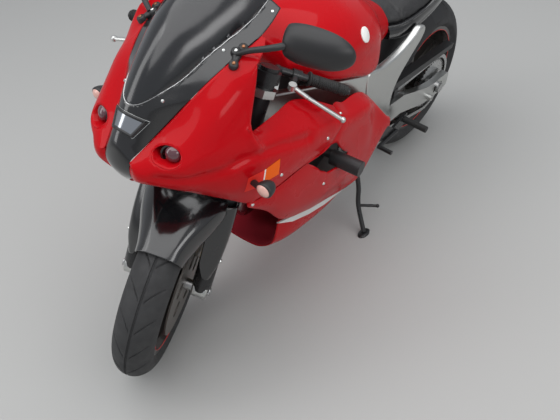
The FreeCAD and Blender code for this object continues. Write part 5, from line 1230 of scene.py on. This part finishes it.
seat_grid = body_grid(SEAT)
points, faces = body_mesh(seat_grid)
seat = mesh_piece("seat_cover", points, faces, "chassis", vinyl, smooth=180)
drawn = chassis.back(swell(seat))
press = sum(depth * np.exp(-((drawn[:, 0] - x) / SEAM_WIDE) ** 2) for x, depth in SEAMS)
towards = SEAT_CORE - drawn[:, 1:]
towards /= np.maximum(np.linalg.norm(towards, axis=1), 1)[:, None]
drawn[:, 1:] += towards * press[:, None]
seat.data.vertices.foreach_set("co", chassis(drawn).ravel())
seat.data.update()
seat.data.shade_smooth()
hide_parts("seat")
print("seat", len(seat.data.vertices), "points")

# %% [markdown]
# ## Tyres
# A road tyre has a round crown that meets the floor, sidewalls that tuck in to the rim, and
# curved grooves cut into the tread. Cutting each groove with a boolean would be slow, and a bump
# map doesn't show at the edge. So the section is turned about the axle, and each point of the
# crown is lowered by a groove depth that depends on its angle and its place across.

# %% Tyres
CROWN_POINTS, WALL_POINTS, TREAD_STEPS = 61, 9, 600
GROOVE_DEEP, GROOVE_SLOPE = 4.5, 1.6
GROOVE_FROM, GROOVE_TO, GROOVE_FADE = 0.1, 0.86, 0.06
CROWN_ARC = 0.92
CROWN_SHARE = 0.97
LINE_SHARE = 0.035
WALL_BULGE, BULGE_RATE = 0.03, 1.7
TUCK_FROM, TUCK_CURVE = 0.35, 1.3
BEAD_LIP, BEAD_INSET = 4, 6


def groove_depth(angle, s, repeats, lean, wide):
    """Grooves curve back from the middle: a line of angle against distance across, repeated."""
    pitch = 2 * math.pi / repeats
    distance = np.abs(s)
    phase = (angle - lean * distance ** 0.7) / pitch
    off = np.abs(phase - np.round(phase)) * pitch
    reach = (np.clip((distance - GROOVE_FROM) / GROOVE_FADE, 0, 1)
             * np.clip((GROOVE_TO - distance) / GROOVE_FADE, 0, 1))
    return GROOVE_DEEP * np.clip(GROOVE_SLOPE - off / wide * GROOVE_SLOPE, 0, 1) * reach


def tyre(name, axle, place, body, radius, width, crown_drop, bead, bead_half, repeats, lean, wide, line):
    """Crown: part of an ellipse across the tyre; walls: a small bulge, then in to the bead."""
    s = np.linspace(-1, 1, CROWN_POINTS)
    half = width / 2
    full_drop = 1 - math.sqrt(1 - CROWN_ARC ** 2)
    crown_r = radius - crown_drop * (1 - np.sqrt(1 - (CROWN_ARC * s) ** 2)) / full_drop
    crown_y = s * half * CROWN_SHARE
    edge_r = crown_r[0]
    t = np.linspace(0, 1, WALL_POINTS + 2)[1:]
    bulge = half * (CROWN_SHARE + WALL_BULGE * np.sin(math.pi * np.minimum(t * BULGE_RATE, 1)))
    tuck = np.clip((t - TUCK_FROM) / (1 - TUCK_FROM), 0, 1) ** TUCK_CURVE
    wall_y = bulge + (bead_half - bulge) * tuck
    wall_r = edge_r + (bead - edge_r) * t
    profile_r = np.concatenate([crown_r, wall_r, [bead - BEAD_LIP, bead - BEAD_LIP], wall_r[::-1]])
    profile_y = np.concatenate([crown_y, wall_y, [bead_half - BEAD_INSET, BEAD_INSET - bead_half],
                                -wall_y[::-1]])
    across_s = np.concatenate([s, np.full(len(profile_r) - CROWN_POINTS, 2.0)])
    angle = np.linspace(0, 2 * math.pi, TREAD_STEPS, endpoint=False)[:, None]
    depth = np.where(np.abs(across_s) <= 1, groove_depth(angle, across_s, repeats, lean, wide), 0)
    if line:
        depth = depth + np.where(np.abs(across_s) < LINE_SHARE, line, 0)
    r = profile_r - depth
    points = np.stack([r * np.cos(angle), np.broadcast_to(profile_y, r.shape), r * np.sin(angle)], axis=2)
    faces = grid_faces(TREAD_STEPS, len(profile_r), wrap_rows=True, wrap_columns=True)
    return mesh_piece(name, points.reshape(-1, 3) + axle, faces.tolist(), body, tyre_rubber, place, 50)


front_tyre = tyre("front_tread", FRONT_AXLE, fork, "front_wheel", radius=300, width=120, crown_drop=44,
                  bead=216, bead_half=44, repeats=20, lean=0.26, wide=0.012, line=4)
rear_tyre = tyre("rear_tread", REAR_AXLE, chassis, "rear_wheel", radius=315, width=180, crown_drop=62,
                 bead=216, bead_half=70, repeats=22, lean=0.3, wide=0.013, line=0)
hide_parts("front_tyre")
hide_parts("rear_tyre")
print("tyre points", len(front_tyre.data.vertices), len(rear_tyre.data.vertices))

# %% [markdown]
# ## Frame beams
# Each beam is a cast plate with an arm that rises to the seat, and a bar to the headstock. A Bevel
# modifier could round the edges. Here they are part of the formula, so the radius is exact: the
# plate's outline is a smooth closed curve, and its rings step inwards by edge (1 - cos a) while
# they rise by edge sin a.

# %% Frame beams
BEAM_IN, BEAM_OUT, BEAM_EDGE = 150, 178, 9
PLATE = [(652, 704), (560, 690), (470, 694), (400, 714), (344, 740), (310, 726), (322, 690), (380, 642),
         (436, 590), (462, 536), (460, 470), (432, 416), (440, 356), (500, 331), (590, 331), (626, 372),
         (622, 470), (638, 560), (652, 600)]
# Sections of the bar and of the engine's hanger: x, inner and outer y, low and high z
BAR_SECTIONS = [(640, BEAM_IN, BEAM_OUT, 600, 702), (1062, 60.3, 88.3, 700, 800)]
HANGER_SECTIONS = [(930, 75.3, 99.3, 558, 680), (960, 75.3, 99.3, 558, 680)]
HANGER_EDGE = 3


def round_plate(corners, low, high, edge):
    """Rings of a flat plate with round edges, and a face over each side."""
    line = outline_of(corners, 220, rounded=True)
    ahead = np.roll(line, -1, axis=0) - np.roll(line, 1, axis=0)
    inward = np.stack([-ahead[:, 1], ahead[:, 0]], axis=1) / np.linalg.norm(ahead, axis=1)[:, None]
    middle = line.mean(0)
    inward *= np.sign(((middle - line) * inward).sum())
    a = np.linspace(0, math.pi / 2, 6)
    steps = [(1 - s, low + edge - edge * c) for s, c in zip(np.sin(a), np.cos(a))]
    steps += [(1 - s, high - edge + edge * c) for s, c in zip(np.sin(a[::-1]), np.cos(a[::-1]))]
    rings = [np.insert(line + inward * edge * share, 1, y, axis=1) for share, y in steps]
    faces = grid_faces(len(rings), len(line), wrap_columns=True).tolist()
    last = (len(rings) - 1) * len(line)
    faces += [list(range(len(line)))[::-1], list(range(last, last + len(line)))]
    return np.concatenate(rings), faces


def round_bar(sections, edge):
    """A bar through sections of x, inner and outer y, low and high z, its corners round."""
    rings = []
    corner = np.linspace(0, math.pi / 2, 6)
    for x, y_in, y_out, z_low, z_high in sections:
        ring = []
        for quarter, (y, z) in enumerate(((y_out - edge, z_high - edge), (y_in + edge, z_high - edge),
                                          (y_in + edge, z_low + edge), (y_out - edge, z_low + edge))):
            turn = corner + quarter * math.pi / 2
            ring += [(x, y + edge * c, z + edge * s) for c, s in zip(np.cos(turn), np.sin(turn))]
        rings.append(ring)
    count = len(rings[0])
    faces = grid_faces(len(rings), count, wrap_columns=True).tolist()
    last = (len(rings) - 1) * count
    faces += [list(range(count))[::-1], list(range(last, last + count))]
    return np.array(rings, float).reshape(-1, 3), faces


plate = round_plate(PLATE, BEAM_IN, BEAM_OUT, BEAM_EDGE)
bar = round_bar(BAR_SECTIONS, BEAM_EDGE)
hanger = round_bar(HANGER_SECTIONS, HANGER_EDGE)
beam_points, beam_faces = joined([(points, outward(points, faces)) for points, faces in (plate, bar, hanger)])
for side, label in ((1, "left"), (-1, "right")):
    beam = mesh_piece("cast_beam_" + label, beam_points * [1, side, 1], beam_faces, "chassis", alloy,
                      smooth=50, inside=(640, side * 160, 560))
    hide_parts("frame_beam_" + label)
print("beam", len(beam_faces), "faces")

# %% [markdown]
# ## Side stand
# The stand is a bent leg with a boss at the pin, an oval foot on the floor and a tang for the
# boot. The leg is a tube along a smooth line through four points. It leaves the boss square to
# the pin, because a leg that bends at once would swing through its own lug when it folds.

# %% Side stand
STAND_PIVOT, STAND_TILT = np.array([575.0, 146, 262]), math.radians(27)
STAND_FOOT = np.array([0.0083, 0.0867, 0])  # the foot's middle on the floor, metres
BOSS_RADIUS, BOSS_HALF = 17, 10
LEG_RADIUS, ANKLE_RADIUS, LEG_STEPS = 9, 8.5, 31
SHOULDER_SHARE, SHOULDER_OUT = 0.3, 1.5
KNEE_SHARE, KNEE_BEND = 0.58, [2, -7, -4]
ANKLE_HIGH = 0.01  # over the floor, metres
TANG_REACH, TANG_RADIUS, KNOB = [-36, 58, 8], 5.5, 7
FOOT_PROFILE, FOOT_OVAL = [(0, 8), (22, 8), (29, 5), (29, 0), (0, 0)], 0.62
pin = np.array([0, math.cos(STAND_TILT), math.sin(STAND_TILT)])
ankle = chassis.back(STAND_FOOT + [0, 0, ANKLE_HIGH])
shoulder = STAND_PIVOT + (ankle - STAND_PIVOT) * SHOULDER_SHARE + pin * SHOULDER_OUT
knee = STAND_PIVOT + (ankle - STAND_PIVOT) * KNEE_SHARE + KNEE_BEND
leg_line = flow([STAND_PIVOT + pin, shoulder, knee, ankle], LEG_STEPS)
leg = tube_points(leg_line, np.linspace(LEG_RADIUS, ANKLE_RADIUS, LEG_STEPS), 20)
boss = tube_points([STAND_PIVOT - pin * BOSS_HALF, STAND_PIVOT + pin * BOSS_HALF], BOSS_RADIUS, 32)
tang_tip = knee + TANG_REACH
tang = tube_points([knee, tang_tip], TANG_RADIUS, 14)
knob = egg(tang_tip, (KNOB, KNOB, KNOB, KNOB), 1)
foot_points, foot_faces = spun(FOOT_PROFILE, (0, 0, 0), (0, 0, 1), 40)
foot_points = chassis.back(foot_points * [1, FOOT_OVAL, 1] * MM + STAND_FOOT)
parts = [leg, boss, tang, knob, (foot_points, foot_faces)]
stand_points, stand_faces = joined([(points, outward(points, faces)) for points, faces in parts])
stand = mesh_piece("bent_stand", stand_points, stand_faces, "side_stand", enamel, inside=knee)
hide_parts("side_stand")
print("stand", len(stand_faces), "faces")

# %% [markdown]
# ## Pinstripes and the tank's disc
# A thin red line runs round each rim just inside the tyre. It could be a colour band in the rim's
# material, but the rim's mesh is the CAD's and carries its own finish, so the line is a closed
# ring of a small round section. On the tank's flank sits a plain white disc, 46 mm across, which
# faces the way that the tank's own grid faces there.

# %% Pinstripes
STRIPE_STEPS, STRIPE_RADIUS, STRIPE_SIDES = 160, 1.1, 8
RIM_EDGE, FRONT_EDGE_OUT, REAR_EDGE_OUT = 208, 50, 76


def stripe(name, axle, place, body, radius, out):
    """A closed ring about the axle: a small circle carried round a large one."""
    turn = np.linspace(0, 2 * math.pi, STRIPE_STEPS, endpoint=False)[:, None]
    small = ring_of(STRIPE_RADIUS, STRIPE_SIDES)
    r = radius + small[:, 0]
    y = np.broadcast_to(out + small[:, 1], (STRIPE_STEPS, STRIPE_SIDES))
    points = np.stack([r * np.cos(turn), y, r * np.sin(turn)], axis=2).reshape(-1, 3) + axle
    faces = grid_faces(STRIPE_STEPS, STRIPE_SIDES, wrap_rows=True, wrap_columns=True).tolist()
    mesh_piece(name, points, faces, body, red_line, place)


for side, label in ((1, "left"), (-1, "right")):
    stripe("front_stripe_" + label, FRONT_AXLE, fork, "front_wheel", RIM_EDGE, side * FRONT_EDGE_OUT)
    stripe("rear_stripe_" + label, REAR_AXLE, chassis, "rear_wheel", RIM_EDGE, side * REAR_EDGE_OUT)
DISC_AT, DISC_RADIUS = (714, 176, 868), 23
DISC_PROFILE = [(0, 2.6), (DISC_RADIUS - 1, 2.0), (DISC_RADIUS, 1.2), (DISC_RADIUS, -3)]
row, column = nearest_cells(tank_grid, [DISC_AT])[0].astype(int)
facing = np.cross(tank_grid[row + 1, column] - tank_grid[row - 1, column],
                  tank_grid[row, column + 1] - tank_grid[row, column - 1])
points, faces = spun(DISC_PROFILE, tank_grid[row, column], facing * np.sign(facing[1]), 48)
pair("tank_disc", points, faces, marker_white)
print("tank disc at", tank_grid[row, column].round(1))
